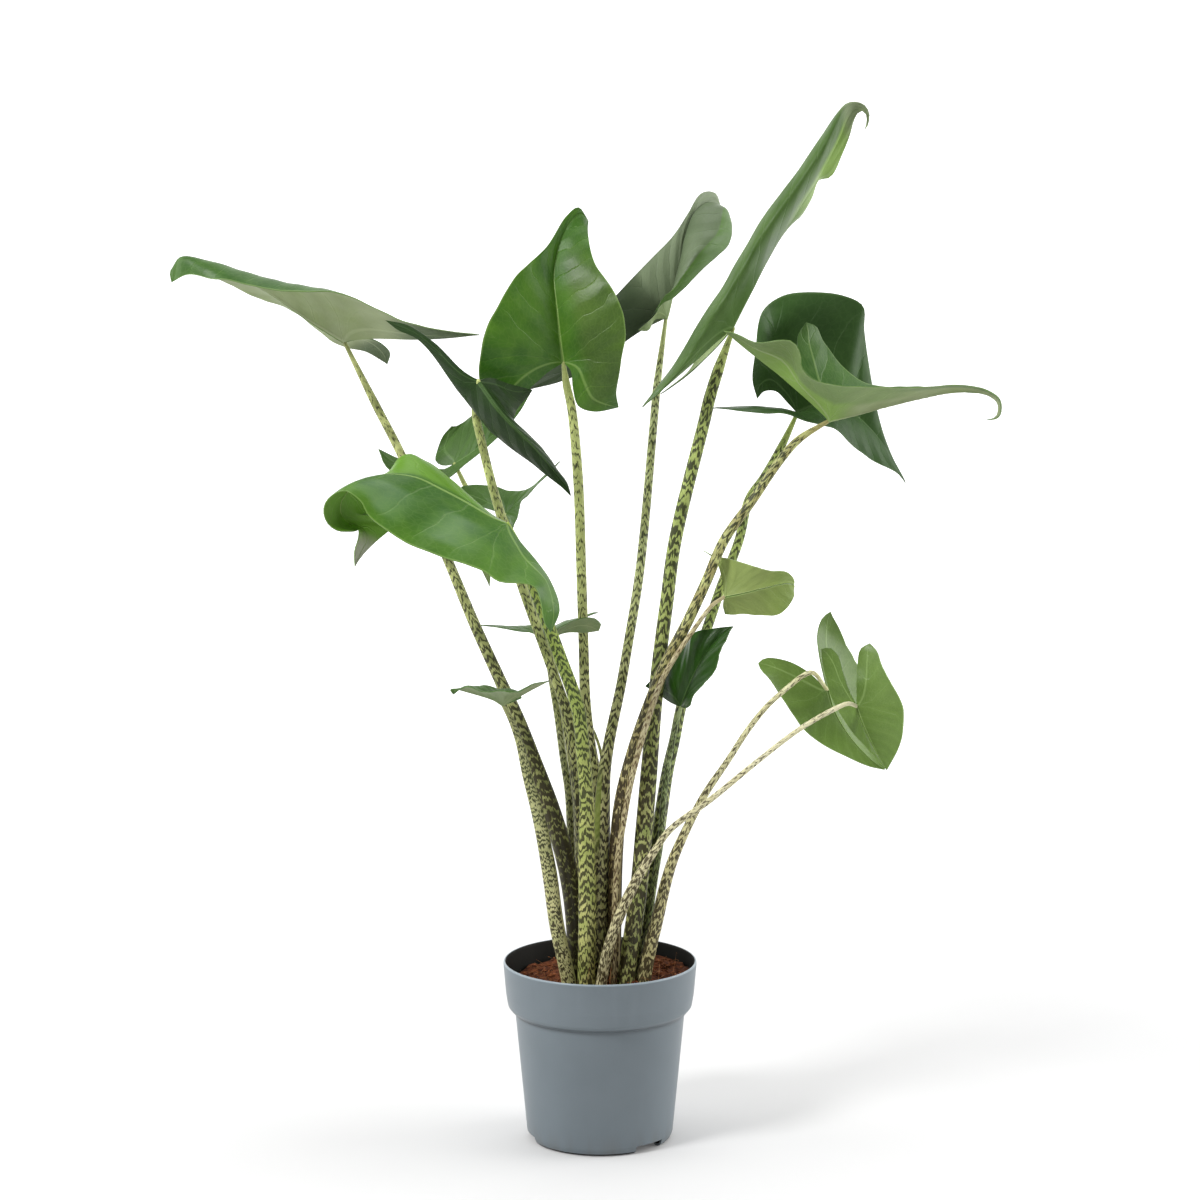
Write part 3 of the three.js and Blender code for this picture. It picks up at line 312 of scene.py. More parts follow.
        rib=[(-92, -62, 443), (-101, -64, 449), (-127, -70, 458), (-137, -72, 461), (-142, -72, 460),
            (-139, -72, 455)],
        left=HalfPlan(lobe=(-48, -74, 469), notch=[(-64, -72, 460), (-82, -66, 449)],
            edge=[(-57, -88, 469), (-70, -96, 466), (-86, -98, 462), (-108, -92, 462), (-127, -82, 464)]),
        right=HalfPlan(lobe=(-75, -38, 446), notch=[(-83, -50, 444)],
            edge=[(-78, -30, 450), (-96, -34, 455), (-115, -46, 459), (-129, -60, 461)]),
        stalk=[(-84, -56, 426, 2.9), (-77, -52, 405, 3.6), (-70, -46, 373, 4.8), (-59, -36, 328, 6.1),
            (-49, -28, 273, 7.3), (-42, -26, 220, 7.3), (-30, -25, 160, 7.3)]),
    "small_right": LeafPlan(
        rib=[(119, -26, 542), (136, -29, 546), (158, -27, 551), (179, -19, 554), (187, -8, 550),
            (184, 2, 543)],
        left=HalfPlan(lobe=(120, -24, 525), notch=[(118, -24, 533)],
            edge=[(129, -22, 524), (139, -20, 525), (155, -20, 523), (170, -20, 524), (182, -16, 532),
                (187, -8, 542)]),
        right=HalfPlan(lobe=(99, -8, 585), notch=[(111, -14, 576), (117, -22, 558)],
            edge=[(110, -14, 580), (121, -20, 579), (132, -28, 577), (149, -34, 572), (164, -28, 568),
                (180, -18, 565), (187, -10, 556)]),
        stalk=[(107, -34, 535, 1.9), (91, -42, 515, 2.2), (73, -46, 489, 2.4), (58, -46, 462, 2.7),
            (45, -43, 423, 2.9), (36, -39, 390, 2.9), (29, -36, 360, 2.9), (23, -32, 325, 2.9),
            (17, -28, 285, 2.9), (12.5, -26.5, 160, 3)]),
    "right_inner": LeafPlan(
        rib=[(78, -22, 434), (87, -26, 459), (99, -28, 484), (115, -28, 504), (128, -28, 514)],
        left=HalfPlan(lobe=(44, 22, 447), notch=[(57, 17, 440), (68, 0, 435)],
            edge=[(55, 21, 459), (70, 14, 478), (82, 4, 491), (92, -10, 505), (109, -22, 511)]),
        right=HalfPlan(lobe=(86, -48, 440), notch=[(83, -38, 436)],
            edge=[(90, -58, 455), (104, -62, 468), (111, -60, 483), (117, -50, 497), (123, -38, 508)]),
        stalk=[(74, -18, 417, 2.4), (69, -13, 392, 2.7), (65, -8, 365, 2.9), (62, -7, 340, 2.9),
            (59, -8, 300, 2.9), (51, -7, 240, 2.9), (42, -4, 160, 3)]),
    "low_right_rear": LeafPlan(
        rib=[(216, -60, 458), (223, -57, 436), (239, -56, 410), (259, -58, 389), (272, -60, 380)],
        left=HalfPlan(lobe=(150, -66, 484), notch=[(156, -65, 489), (178, -62, 486), (198, -60, 475)],
            edge=[(152, -70, 479), (161, -72, 469), (172, -70, 453), (182, -68, 437), (193, -66, 421),
                (214, -62, 404), (235, -61, 393), (256, -61, 384)]),
        right=HalfPlan(lobe=(221, -26, 528), notch=[(213, -30, 522), (208, -36, 508), (209, -46, 490),
                (213, -55, 470)],
            edge=[(227, -20, 516), (239, -14, 493), (251, -12, 469), (267, -18, 437), (275, -38, 405)]),
        stalk=[(201, -76, 477, 2.2), (192, -81, 475, 2.4), (181, -83, 467, 2.4), (159, -78, 446, 2.6),
            (141, -68, 421, 2.9), (122, -48, 386, 3.1), (103, -42, 356, 3.6), (91, -38, 333, 3.9),
            (80, -34, 309, 4.4), (70, -31, 284, 5.1), (63, -28, 259, 5.6), (55, -24, 222, 6.1),
            (48, -22, 194, 6.8), (42, -20, 160, 7.6)]),
    "low_right_front": LeafPlan(
        rib=[(241, -100, 449), (247, -104, 433), (258, -106, 410), (270, -106, 389)],
        left=HalfPlan(lobe=(208, -84, 501), notch=[(217, -84, 502), (225, -88, 494), (230, -94, 476)],
            edge=[(209, -83, 490), (214, -84, 469), (225, -87, 441), (241, -92, 420), (257, -98, 402)]),
        right=HalfPlan(lobe=(254, -90, 507), notch=[(245, -90, 502), (242, -92, 485), (241, -98, 468)],
            edge=[(260, -98, 501), (263, -106, 490), (274, -114, 471), (283, -118, 449), (284, -116, 430),
                (280, -112, 411)]),
        stalk=[(232, -109, 453, 2.1), (220, -109, 448, 2.4), (188, -99, 427, 2.4), (149, -84, 393, 2.6),
            (107, -72, 355, 2.9), (67, -62, 322, 3.1), (53, -56, 301, 3.6), (36, -48, 271, 4.8),
            (19, -43, 233, 5.3), (9, -39, 203, 5.3), (1, -35, 160, 5.3)]),
    "left_rear": LeafPlan(
        rib=[(-143, 68, 661), (-130, 68, 669), (-100, 76, 693), (-81, 82, 715), (-69, 86, 728)],
        left=HalfPlan(lobe=(-147, 92, 696), notch=[(-155, 88, 687), (-161, 82, 672), (-162, 75, 663),
                (-155, 71, 659)],
            edge=[(-142, 94, 696), (-136, 95, 699), (-130, 97, 704), (-122, 98, 711), (-110, 102, 720),
                (-91, 98, 729)]),
        right=HalfPlan(lobe=(-215, 34, 679), notch=[(-197, 42, 669), (-168, 55, 660), (-154, 62, 656)],
            edge=[(-208, 26, 662), (-190, 30, 649), (-172, 38, 642), (-149, 50, 648), (-132, 58, 662),
                (-118, 64, 672), (-99, 72, 688), (-79, 80, 711)]),
        stalk=[(-132, 64, 639, 2.5), (-114, 60, 606, 2.5), (-93, 57, 574, 2.5), (-75, 54, 538, 2.5),
            (-58, 50, 488, 2.5), (-43, 46, 439, 2.5), (-34, 43, 400, 2.7), (-26, 38, 340, 3),
            (-23, 34, 281, 3.2), (-18, 32, 160, 3.6)]),
}


class Side(Enum):
    """The two halves of a blade."""

    LEFT = "left"
    RIGHT = "right"


class SplineRun:
    """A centripetal Catmull-Rom curve through places, read by share of its length."""

    DIVISIONS = 200
    CLOSE = 1e-4

    def __init__(self, places: list[Point]) -> None:
        """Measures the curve.

        Args:
            places: points in millimetres, in order.
        """
        self.places = [Vector(place) for place in places]
        self.lengths = [0.0]
        last = self.at(0.0)
        for step in range(1, self.DIVISIONS + 1):
            here = self.at(step / self.DIVISIONS)
            self.lengths.append(self.lengths[-1] + (here - last).length)
            last = here
        self.length = self.lengths[-1]

    def at(self, t: float) -> Vector:
        """Point at the curve's own parameter.

        Args:
            t: the parameter, from 0 to 1.

        Returns:
            The point, in millimetres.
        """
        spots = self.places
        count = len(spots)
        along = (count - 1) * t
        index = min(int(along), count - 2)
        weight = along - index
        start, end = spots[index], spots[index + 1]
        before = spots[index - 1] if index > 0 else 2 * start - end
        after = spots[index + 2] if index + 2 < count else 2 * end - start
        gap0 = (start - before).length ** 0.5
        gap1 = (end - start).length ** 0.5 or 1.0
        gap2 = (after - end).length ** 0.5
        gap0 = gap0 if gap0 > self.CLOSE else gap1
        gap2 = gap2 if gap2 > self.CLOSE else gap1
        leave = (start - before) / gap0 - (end - before) / (gap0 + gap1) + (end - start) / gap1
        arrive = (end - start) / gap1 - (after - start) / (gap1 + gap2) + (after - end) / gap2
        leave, arrive = leave * gap1, arrive * gap1
        square = -3 * start + 3 * end - 2 * leave - arrive
        cube = 2 * start - 2 * end + leave + arrive
        return start + leave * weight + square * weight**2 + cube * weight**3

    def parameter(self, share: float) -> float:
        """The curve's own parameter at a share of its length.

        Args:
            share: the share, from 0 to 1.

        Returns:
            The parameter.
        """
        target = min(max(share, 0.0), 1.0) * self.length
        low, high = 0, self.DIVISIONS
        while high - low > 1:
            middle = (low + high) // 2
            if self.lengths[middle] <= target:
                low = middle
            else:
                high = middle
        span = self.lengths[high] - self.lengths[low]
        part = (target - self.lengths[low]) / span if span > 0 else 0.0
        return (low + part) / self.DIVISIONS

    def point(self, share: float) -> Vector:
        """Point at a share of the length, in millimetres."""
        return self.at(self.parameter(share))

    def tangent(self, share: float) -> Vector:
        """Unit direction at a share of the length."""
        t = self.parameter(share)
        low, high = max(t - self.CLOSE, 0.0), min(t + self.CLOSE, 1.0)
        return (self.at(high) - self.at(low)).normalized()


def deselect_all() -> None:
    """Leaves nothing selected, the frame's own nodes included."""
    if bpy.context.object and bpy.context.object.mode != "OBJECT":
        bpy.ops.object.mode_set(mode="OBJECT")
    bpy.ops.object.select_all(action="DESELECT")


def make_active(piece: Piece) -> None:
    """Selects one piece alone and makes it active."""
    deselect_all()
    piece.select_set(True)
    bpy.context.view_layer.objects.active = piece


def primitive(add: Callable[..., object], name: str, **settings: object) -> Piece:
    """Adds a primitive with nothing else selected.

    Args:
        add: the operator that adds it.
        name: its name.
        settings: the operator's settings.

    Returns:
        The primitive.
    """
    deselect_all()
    add(**settings)
    piece = bpy.context.object
    piece.name = name
    piece.data.name = name
    return piece


def mesh_piece(name: str, points: list[Vector], faces: list[tuple[int, ...]]) -> Piece:
    """Makes a piece from points and faces.

    Args:
        name: the piece's name.
        points: its points, in metres.
        faces: the points' numbers round each face.

    Returns:
        The piece.
    """
    mesh = bpy.data.meshes.new(name)
    mesh.from_pydata(points, [], faces)
    piece = bpy.data.objects.new(name, mesh)
    bpy.context.collection.objects.link(piece)
    return piece


def apply_all(piece: Piece) -> None:
    """Applies every modifier of a piece in order."""
    make_active(piece)
    for modifier in list(piece.modifiers):
        bpy.ops.object.modifier_apply(modifier=modifier.name)


def smooth(piece: Piece, degrees: float) -> None:
    """Shades a piece smooth, but for edges sharper than an angle."""
    make_active(piece)
    bpy.ops.object.shade_smooth_by_angle(angle=math.radians(degrees))


def join_all(pieces: list[Piece], name: str) -> Piece:
    """Joins pieces into the first and names it.

    Args:
        pieces: the pieces, each with its own mesh.
        name: the joined piece's name.

    Returns:
        The joined piece.
    """
    make_active(pieces[0])
    for piece in pieces[1:]:
        piece.select_set(True)
    bpy.ops.object.join()
    pieces[0].name = name
    pieces[0].data.name = name
    return pieces[0]


def weld(piece: Piece, reach: float, outwards: bool = False) -> None:
    """Merges the points of a piece that lie close together, and drops what that flattens.

    Args:
        piece: the piece.
        reach: how close, in millimetres.
        outwards: whether its faces are then turned outwards.
    """
    make_active(piece)
    bpy.ops.object.mode_set(mode="EDIT")
    bpy.ops.mesh.select_all(action="SELECT")
    bpy.ops.mesh.remove_doubles(threshold=reach * MM)
    bpy.ops.mesh.dissolve_degenerate(threshold=reach * MM)
    if outwards:
        bpy.ops.mesh.select_all(action="SELECT")
        bpy.ops.mesh.normals_make_consistent(inside=False)
    bpy.ops.object.mode_set(mode="OBJECT")


def shaped_grid(name: str, columns: int, rows: int, place: Callable[[int, int], Vector],
                layout: Callable[[int, int], Pair]) -> Piece:
    """Adds a grid primitive and bends it into a sheet or a tube.

    Args:
        name: the piece's name.
        columns: faces across.
        rows: faces along.
        place: gives a point in millimetres for a column and a row.
        layout: gives the texture place for a column and a row.

    Returns:
        The bent grid.
    """
    add = bpy.ops.mesh.primitive_grid_add
    piece = primitive(add, name, x_subdivisions=columns, y_subdivisions=rows, size=1.0)
    mesh = piece.data
    where = [
        (round((vertex.co.x + 0.5) * columns), round((vertex.co.y + 0.5) * rows)) for vertex in mesh.vertices
    ]
    texture = {key: layout(*key) for key in where}
    for vertex, key in zip(mesh.vertices, where):
        vertex.co = place(*key) * MM
    sheet = mesh.uv_layers.active
    sheet.name = "surface"
    for loop in mesh.loops:
        sheet.data[loop.index].uv = texture[where[loop.vertex_index]]
    mesh.update()
    return piece


class NodeBench:
    """Places shader nodes in a tree, with short calls for what this object's materials use."""

    def __init__(self, tree: Tree) -> None:
        """Keeps the tree.

        Args:
            tree: a material's, a group's or the surroundings' node tree.
        """
        self.tree = tree

    def feed(self, socket: Socket, value: object) -> None:
        """Links a socket, or sets a plain value on it."""
        if isinstance(value, Socket):
            self.tree.links.new(value, socket)
        else:
            socket.default_value = value

    def add(self, kind: str, *values: object, **settings: object) -> bpy.types.Node:
        """Adds a node.

        Args:
            kind: the node's type.
            values: what feeds its inputs, in their order.
            settings: its plain properties.

        Returns:
            The node.
        """
        node = self.tree.nodes.new(kind)
        for name, value in settings.items():
            setattr(node, name, value)
        for socket, value in zip(node.inputs, values):
            self.feed(socket, value)
        return node

    def fill(self, node: bpy.types.Node, **values: object) -> bpy.types.Node:
        """Feeds a node's inputs by name, with _ for a space, and hands the node back."""
        for label, value in values.items():
            self.feed(node.inputs[label.replace("_", " ")], value)
        return node

    def math(self, operation: str, *values: object) -> Socket:
        """One math step on numbers or sockets."""
        return self.add("ShaderNodeMath", *values, operation=operation).outputs[0]

    def plus(self, first: object, second: object) -> Socket:
        """Sum of two values."""
        return self.math("ADD", first, second)

    def minus(self, first: object, second: object) -> Socket:
        """First value less the second."""
        return self.math("SUBTRACT", first, second)

    def times(self, first: object, second: object) -> Socket:
        """Product of two values."""
        return self.math("MULTIPLY", first, second)

    def times_plus(self, first: object, second: object, third: object) -> Socket:
        """Product of two values, and a third added."""
        return self.math("MULTIPLY_ADD", first, second, third)

    def band(self, value: object, low: float, high: float, start: float = 0.0, end: float = 1.0) -> Socket:
        """Smooth step from start to end as value goes from low to high."""
        node = self.add("ShaderNodeMapRange", value, low, high, start, end, interpolation_type="SMOOTHSTEP")
        return node.outputs[0]

    def window(self, value: object, low: float, high: float, soft: float) -> Socket:
        """1 from low to high and 0 elsewhere, with edges that soften over a distance to each side."""
        rise = self.band(value, low - soft, low + soft)
        return self.times(rise, self.band(value, high - soft, high + soft, 1.0, 0.0))

    def mix(self, share: object, first: object, second: object) -> Socket:
        """Mix of two colours, whose sockets come after the node's own for numbers and vectors."""
        node = self.add("ShaderNodeMix", share, data_type="RGBA")
        self.feed(node.inputs[6], first)
        self.feed(node.inputs[7], second)
        return node.outputs[2]

    def join(self, *parts: object) -> Socket:
        """Vector from up to three numbers."""
        return self.add("ShaderNodeCombineXYZ", *parts).outputs[0]

    def split(self, vector: Socket) -> list[Socket]:
        """The three numbers of a vector."""
        return list(self.add("ShaderNodeSeparateXYZ", vector).outputs)

    def noise(self, vector: object, scale: object, detail: float = 2.0, roughness: float = 0.5) -> Socket:
        """Cloud noise from 0 to 1, read at a vector, with so many finer layers of a strength."""
        node = self.add("ShaderNodeTexNoise")
        self.fill(node, Vector=vector, Scale=scale, Detail=detail, Roughness=roughness)
        return node.outputs["Fac"]

    def bump(self, height: object, strength: float, distance: float) -> Socket:
        """Normal of a surface with a height on it, given as a share of a distance in metres."""
        node = self.fill(self.add("ShaderNodeBump"), Height=height, Strength=strength, Distance=distance)
        return node.outputs[0]

    def group(self, tree: Tree, **values: object) -> dict[str, Socket]:
        """Places a shared group, feeds its inputs by name and gives its outputs by name."""
        node = self.fill(self.add("ShaderNodeGroup", node_tree=tree), **values)
        return {socket.name: socket for socket in node.outputs}

    def object_place(self) -> Socket:
        """Object coordinates, in metres."""
        return self.add("ShaderNodeTexCoord").outputs["Object"]

    def surface_layout(self) -> Socket:
        """The piece's own surface layout."""
        return self.add("ShaderNodeUVMap", uv_map="surface").outputs[0]


class SkinBench(NodeBench):
    """The bench of a fresh material."""

    def __init__(self, name: str) -> None:
        """Starts the material.

        Args:
            name: the material's name.
        """
        self.material = bpy.data.materials.new(name)
        self.material.use_nodes = True
        super().__init__(self.material.node_tree)

    def coat(self, colour: object, roughness: object, shine: float, **others: object) -> Material:
        """Feeds the material's Principled shader.

        Args:
            colour: its base colour.
            roughness: its roughness.
            shine: its specular level.
            others: further inputs, with _ for a space in their names.

        Returns:
            The material.
        """
        shader = self.tree.nodes["Principled BSDF"]
        self.fill(shader, Base_Color=colour, Roughness=roughness, Specular_IOR_Level=shine, **others)
        return self.material


class GroupBench(NodeBench):
    """The bench of a fresh shader node group, with its inputs and outputs by name."""

    def __init__(self, name: str, vector: str, numbers: dict[str, float], outputs: tuple[str, ...]) -> None:
        """Starts the group.

        Args:
            name: the group's name.
            vector: its one vector input.
            numbers: its number inputs and their defaults.
            outputs: its outputs, all of them numbers.
        """
        super().__init__(bpy.data.node_groups.new(name, "ShaderNodeTree"))
        sockets = self.tree.interface
        sockets.new_socket(vector, in_out="INPUT", socket_type="NodeSocketVector")
        for label, default in numbers.items():
            sockets.new_socket(label, in_out="INPUT", socket_type="NodeSocketFloat").default_value = default
        for label in outputs:
            sockets.new_socket(label, in_out="OUTPUT", socket_type="NodeSocketFloat")
        self.given = {socket.name: socket for socket in self.add("NodeGroupInput").outputs}
        self.out = {socket.name: socket for socket in self.add("NodeGroupOutput").inputs}

    def finish(self, **values: object) -> Tree:
        """Feeds the group's outputs and hands it over."""
        for label, value in values.items():
            self.feed(self.out[label], value)
        return self.tree


class EffectShelf:
    """The node groups that several materials share, each built once."""

    def __init__(self) -> None:
        """Builds the groups."""
        self.veins = self._veins()
        self.zebra = self._zebra()
        self.mottle = self._mottle()

    @staticmethod
    def _mottle() -> Tree:
        """Soft patches and fine grain on Object coordinates."""
        group = GroupBench("soft_mottle", "Place", {"Patch Scale": 30.0}, ("Patch", "Grain"))
        place = group.given["Place"]
        patch = group.band(group.noise(place, group.given["Patch Scale"], 3.0), 0.3, 0.7)
        return group.finish(Patch=patch, Grain=group.noise(place, 900.0, 3.0, 0.6))

    @staticmethod
    def _veins() -> Tree:
        """A blade's rib, side veins and fine net, from its surface layout.

        The layout's x is the signed share across, and its y the share along, with the junction at a share
        that the material gives.

        Returns:
            The group.
        """
        numbers = {"Junction": 0.3, "Count": 9.0, "Sweep": 2.0, "Width": 0.036}
        group = GroupBench("blade_veins", "Layout", numbers, ("Rib", "Side", "Quilt", "Margin", "Net"))
        layout, junction = group.given["Layout"], group.given["Junction"]
        across, along, _ = group.split(layout)
        outward = group.math("ABSOLUTE", across)
        from_junction = group.minus(along, junction)
        distance = group.math("ABSOLUTE", from_junction)

        # A lobe has a rib of its own, which leans out from the junction
        ahead = group.math("GREATER_THAN", from_junction, 0.0)
        behind = group.minus(1.0, ahead)
        down_lobe = group.math("MAXIMUM", group.times(from_junction, -1.0), 0.0)
        lobe_share = group.math("DIVIDE", down_lobe, junction)
        lobe_rib = group.times(group.math("POWER", lobe_share, LOBE_RIB_CURVE), LOBE_RIB_LEAN)
        off_rib = group.math("ABSOLUTE", group.minus(outward, lobe_rib))
        taper = group.minus(1.05, distance)
        ahead_rib = group.band(group.math("DIVIDE", outward, taper), 0.012, 0.034, 1.0, 0.0)
        behind_rib = group.band(off_rib, 0.008, 0.04, 0.6, 0.0)
        rib = group.plus(group.times(ahead_rib, ahead), group.times(behind_rib, behind))

        # The side veins leave the rib at even steps and sweep forward
        reach = group.plus(group.times(outward, ahead), group.times(off_rib, behind))
        warp = group.times(group.minus(group.noise(layout, 3.0, 1.0), 0.5), 0.5)
        run = group.times(distance, group.given["Count"])
        sweep = group.times(group.math("POWER", reach, VEIN_CURVE), group.given["Sweep"])
        phase = group.plus(group.minus(run, sweep), warp)
        wave = group.math("ABSOLUTE", group.minus(group.math("FRACT", phase), 0.5))
        line = group.band(group.minus(0.5, wave), 0.0, group.given["Width"], 1.0, 0.0)
        fade = group.band(outward, 0.75, 1.0, 1.0, 0.15)

        cell = group.join(group.times(across, 14.0), group.times(phase, 5.0))
        cells = group.add("ShaderNodeTexVoronoi", feature="DISTANCE_TO_EDGE")
        group.fill(cells, Vector=cell, Scale=1.0)
        return group.finish(
            Rib=rib,
            Side=group.times(line, fade),
            Quilt=group.times(wave, -2.0),
            Margin=group.band(outward, 0.975, 0.992),
            Net=group.band(cells.outputs["Distance"], 0.0, 0.12, 1.0, 0.0),
        )

    @staticmethod
    def _zebra() -> Tree:
        """A stalk's jagged dark bars, from its surface layout: x round it, y along it in centimetres.

        Returns:
            The group.
        """
        numbers = {
            "Length": 50.0, "Per Centimetre": 1.1, "Chevrons": 4.0, "Slope": 0.7, "Cover Low": 0.3,
            "Cover High": -0.5, "Break": 1.0, "Seed": 0.0,
        }
        group = GroupBench("zebra_bars", "Layout", numbers, ("Bars", "Fleck", "Rise"))
        given = group.given
        around, along, _ = group.split(given["Layout"])
        rise = group.math("DIVIDE", along, given["Length"])

        def cloud(round_scale: float, along_scale: float, size: float) -> Socket:
            """Noise about zero, stretched round and along the stalk."""
            x, y = group.times(around, round_scale), group.times(along, along_scale)
            spot = group.join(x, y, given["Seed"])
            return group.times(group.minus(group.noise(spot, 1.0), 0.5), size)

        # Each bar zigzags round the stalk, and clouds push its edges about
        side = group.times(group.plus(around, cloud(3.0, 0.6, 0.25)), given["Chevrons"])
        zigzag = group.math("PINGPONG", side, 0.5)
        slope = group.times(given["Slope"], group.plus(2.0, cloud(1.0, 0.4, 4.0)))
        step = group.times(along, given["Per Centimetre"])
        ragged = group.times(given["Break"], group.band(rise, 0.05, 0.45, 1.15, 0.8))
        shift = group.times_plus(cloud(24.0, 0.8, 1.6), ragged, cloud(3.0, 0.5, 1.8))
        phase = group.plus(group.plus(step, group.times(zigzag, slope)), shift)
        wave = group.math("SINE", group.times(phase, 2.0 * math.pi))

        # The cover says how much of the stalk the bars take, from its foot to the bare end under the blade
        patch = group.times(ragged, group.plus(cloud(7.0, 1.0, 3.4), cloud(26.0, 1.8, 3.2)))
        drop = group.minus(given["Cover Low"], given["Cover High"])
        cover = group.times_plus(group.band(rise, 0.15, 0.85, 1.0, 0.0), drop, given["Cover High"])
        bare = group.band(rise, 0.93, 0.985, 0.0, -1.2)
        total = group.plus(group.plus(wave, patch), group.plus(cover, bare))
        return group.finish(
            Bars=group.band(total, -0.35, 0.5),
            Fleck=group.band(cloud(60.0, 7.0, 1.0), 0.03, 0.2),
            Rise=rise,
        )


# A tint's reach past both edges of the blade, which takes in all of it
WHOLE = (-1.1, 1.1)


@dataclass(frozen=True)
class Tint:
    """A part of a blade's layout with a colour laid over it: the blade's own colour there, or painted sheen
    or painted light.
    """

    colour: Screen
    along: Pair
    across: Pair = WHOLE
    share: float = 0.85
    on_top: bool = True
    soft: float = 0.03

    def lay(self, bench: NodeBench, layout: Socket, colour: object) -> Socket:
        """Lays the tint over a colour.

        Args:
            bench: the material's bench.
            layout: the blade's layout.
            colour: the colour under it.

        Returns:
            The tinted colour.
        """
        across, along, _ = bench.split(layout)
        mask = bench.times(self.share, bench.window(across, *self.across, self.soft))
        mask = bench.times(mask, bench.window(along, *self.along, self.soft))
        return bench.mix(mask, colour, linear(self.colour))


@dataclass(frozen=True)
class Face:
    """One face's ground colour, the lighter one in its patches, and its veins' colour."""

    ground: Screen
    light: Screen
    vein: Screen


@dataclass(frozen=True)
class BladeFinish:
    """Colours of a blade's two faces, as screen values, and how they take light."""

    top: Face
    under: Face
    rough: float = 0.4
    under_rougher: float = 0.16
    shine: float = 0.4
    under_shine: float = 0.3
    side_share: float = 0.2
    rib_share: float = 0.6
    net_share: float = 0.07
    margin_share: float = 0.4
    vein_gap_shade_share: float = 0.14
    patch_scale: float = 22.0
    patch_share: float = 0.8
    grain: float = 0.12
    relief: float = 0.6
    relief_depth: float = 0.0012

    def material(self, name: str, effects: EffectShelf, layout_values: dict[str, float], tints: list[Tint],
                 top: bool) -> Material:
        """One face's material.

        Args:
            name: the blade's name.
            effects: the shared groups.
            layout_values: the vein group's junction, count and sweep.
            tints: parts with a colour of their own.
            top: whether this is the upper face.

        Returns:
            The material.
        """
        bench = SkinBench(f"{name}_{'top' if top else 'under'}")
        layout = bench.surface_layout()
        veins = bench.group(effects.veins, Layout=layout, **layout_values)
        mottle = bench.group(effects.mottle, Place=bench.object_place(), Patch_Scale=self.patch_scale)
        face = self.top if top else self.under
        line = linear(face.vein)
        rough = self.rough if top else self.rough + self.under_rougher

        patch = bench.times(mottle["Patch"], self.patch_share)
        colour = bench.mix(patch, linear(face.ground), linear(face.light))
        for tint in tints:
            if tint.on_top == top:
                colour = tint.lay(bench, layout, colour)
        # Painted shade: the blade darker between its side veins
        vein_gap_shade = bench.times(bench.plus(veins["Quilt"], 1.0), self.vein_gap_shade_share)
        colour = bench.mix(vein_gap_shade, colour, linear(face.ground, 0.6))
        shares = {"Net": self.net_share, "Side": self.side_share, "Rib": self.rib_share,
                  "Margin": self.margin_share}
        for part, share in shares.items():
            colour = bench.mix(bench.times(veins[part], share), colour, line)

        height = 0.0
        for part, rise in (TOP_HEIGHTS if top else UNDER_HEIGHTS).items():
            height = bench.times_plus(veins[part], rise, height)
        return bench.coat(
            colour,
            bench.times_plus(mottle["Grain"], self.grain, rough - self.grain / 2),
            self.shine if top else self.under_shine,
            Normal=bench.bump(height, self.relief, self.relief_depth),
        )


BRIGHT = BladeFinish(
    top=Face((46, 90, 14), (82, 124, 30), (134, 164, 88)),
    under=Face((118, 140, 78), (130, 148, 92), (160, 180, 118)),
    shine=0.3, side_share=0.12, rib_share=0.8)
DEEP = BladeFinish(
    top=Face((26, 46, 16), (38, 62, 24), (78, 106, 58)),
    under=Face((112, 132, 78), (124, 140, 92), (150, 168, 112)),
    shine=0.1)
PLAIN = BladeFinish(
    top=Face((56, 86, 32), (74, 106, 46), (104, 134, 78)),
    under=Face((110, 130, 82), (138, 148, 110), (158, 172, 122)),
    shine=0.2, side_share=0.12)
FRESH = BladeFinish(
    top=Face((62, 90, 38), (80, 107, 54), (112, 138, 84)),
    under=Face((118, 140, 82), (130, 148, 96), (150, 168, 112)),
    shine=0.16, side_share=0.1)
DARK = BladeFinish(
    top=Face((30, 62, 12), (42, 80, 20), (96, 126, 70)),
    under=Face((98, 120, 66), (112, 130, 80), (148, 166, 112)),
    rough=0.3, shine=0.12, side_share=0.08, relief=0.2)
GLOSSY = BladeFinish(
    top=Face((74, 104, 36), (90, 120, 46), (150, 178, 104)),
    under=Face((84, 112, 42), (104, 132, 60), (156, 182, 112)),
    rough=0.2, side_share=0.1, rib_share=0.5, relief=0.3)
DUSKY = BladeFinish(
    top=Face((44, 72, 29), (58, 88, 40), (92, 120, 72)),
    under=Face((106, 128, 74), (118, 136, 88), (148, 166, 112)),
    shine=0.14, side_share=0.15)
# Painted sheen: the top's grey-green ground stands in for a sheen
SATIN_PAINTED_SHEEN = BladeFinish(
    top=Face((92, 108, 78), (108, 122, 94), (44, 56, 36)),
    under=Face((116, 136, 88), (128, 144, 98), (144, 162, 108)),
    shine=0.22, side_share=0.08, rib_share=0.8)
YOUNG = BladeFinish(
    top=Face((74, 104, 36), (90, 120, 46), (150, 178, 104)),
    under=Face((108, 132, 56), (136, 156, 80), (182, 200, 134)),
    side_share=0.12, rib_share=0.85)
PALE = BladeFinish(
    top=Face((48, 86, 22), (68, 104, 36), (140, 166, 100)),
    under=Face((134, 150, 98), (152, 162, 126), (168, 178, 138)),
    side_share=0.1, shine=0.26)


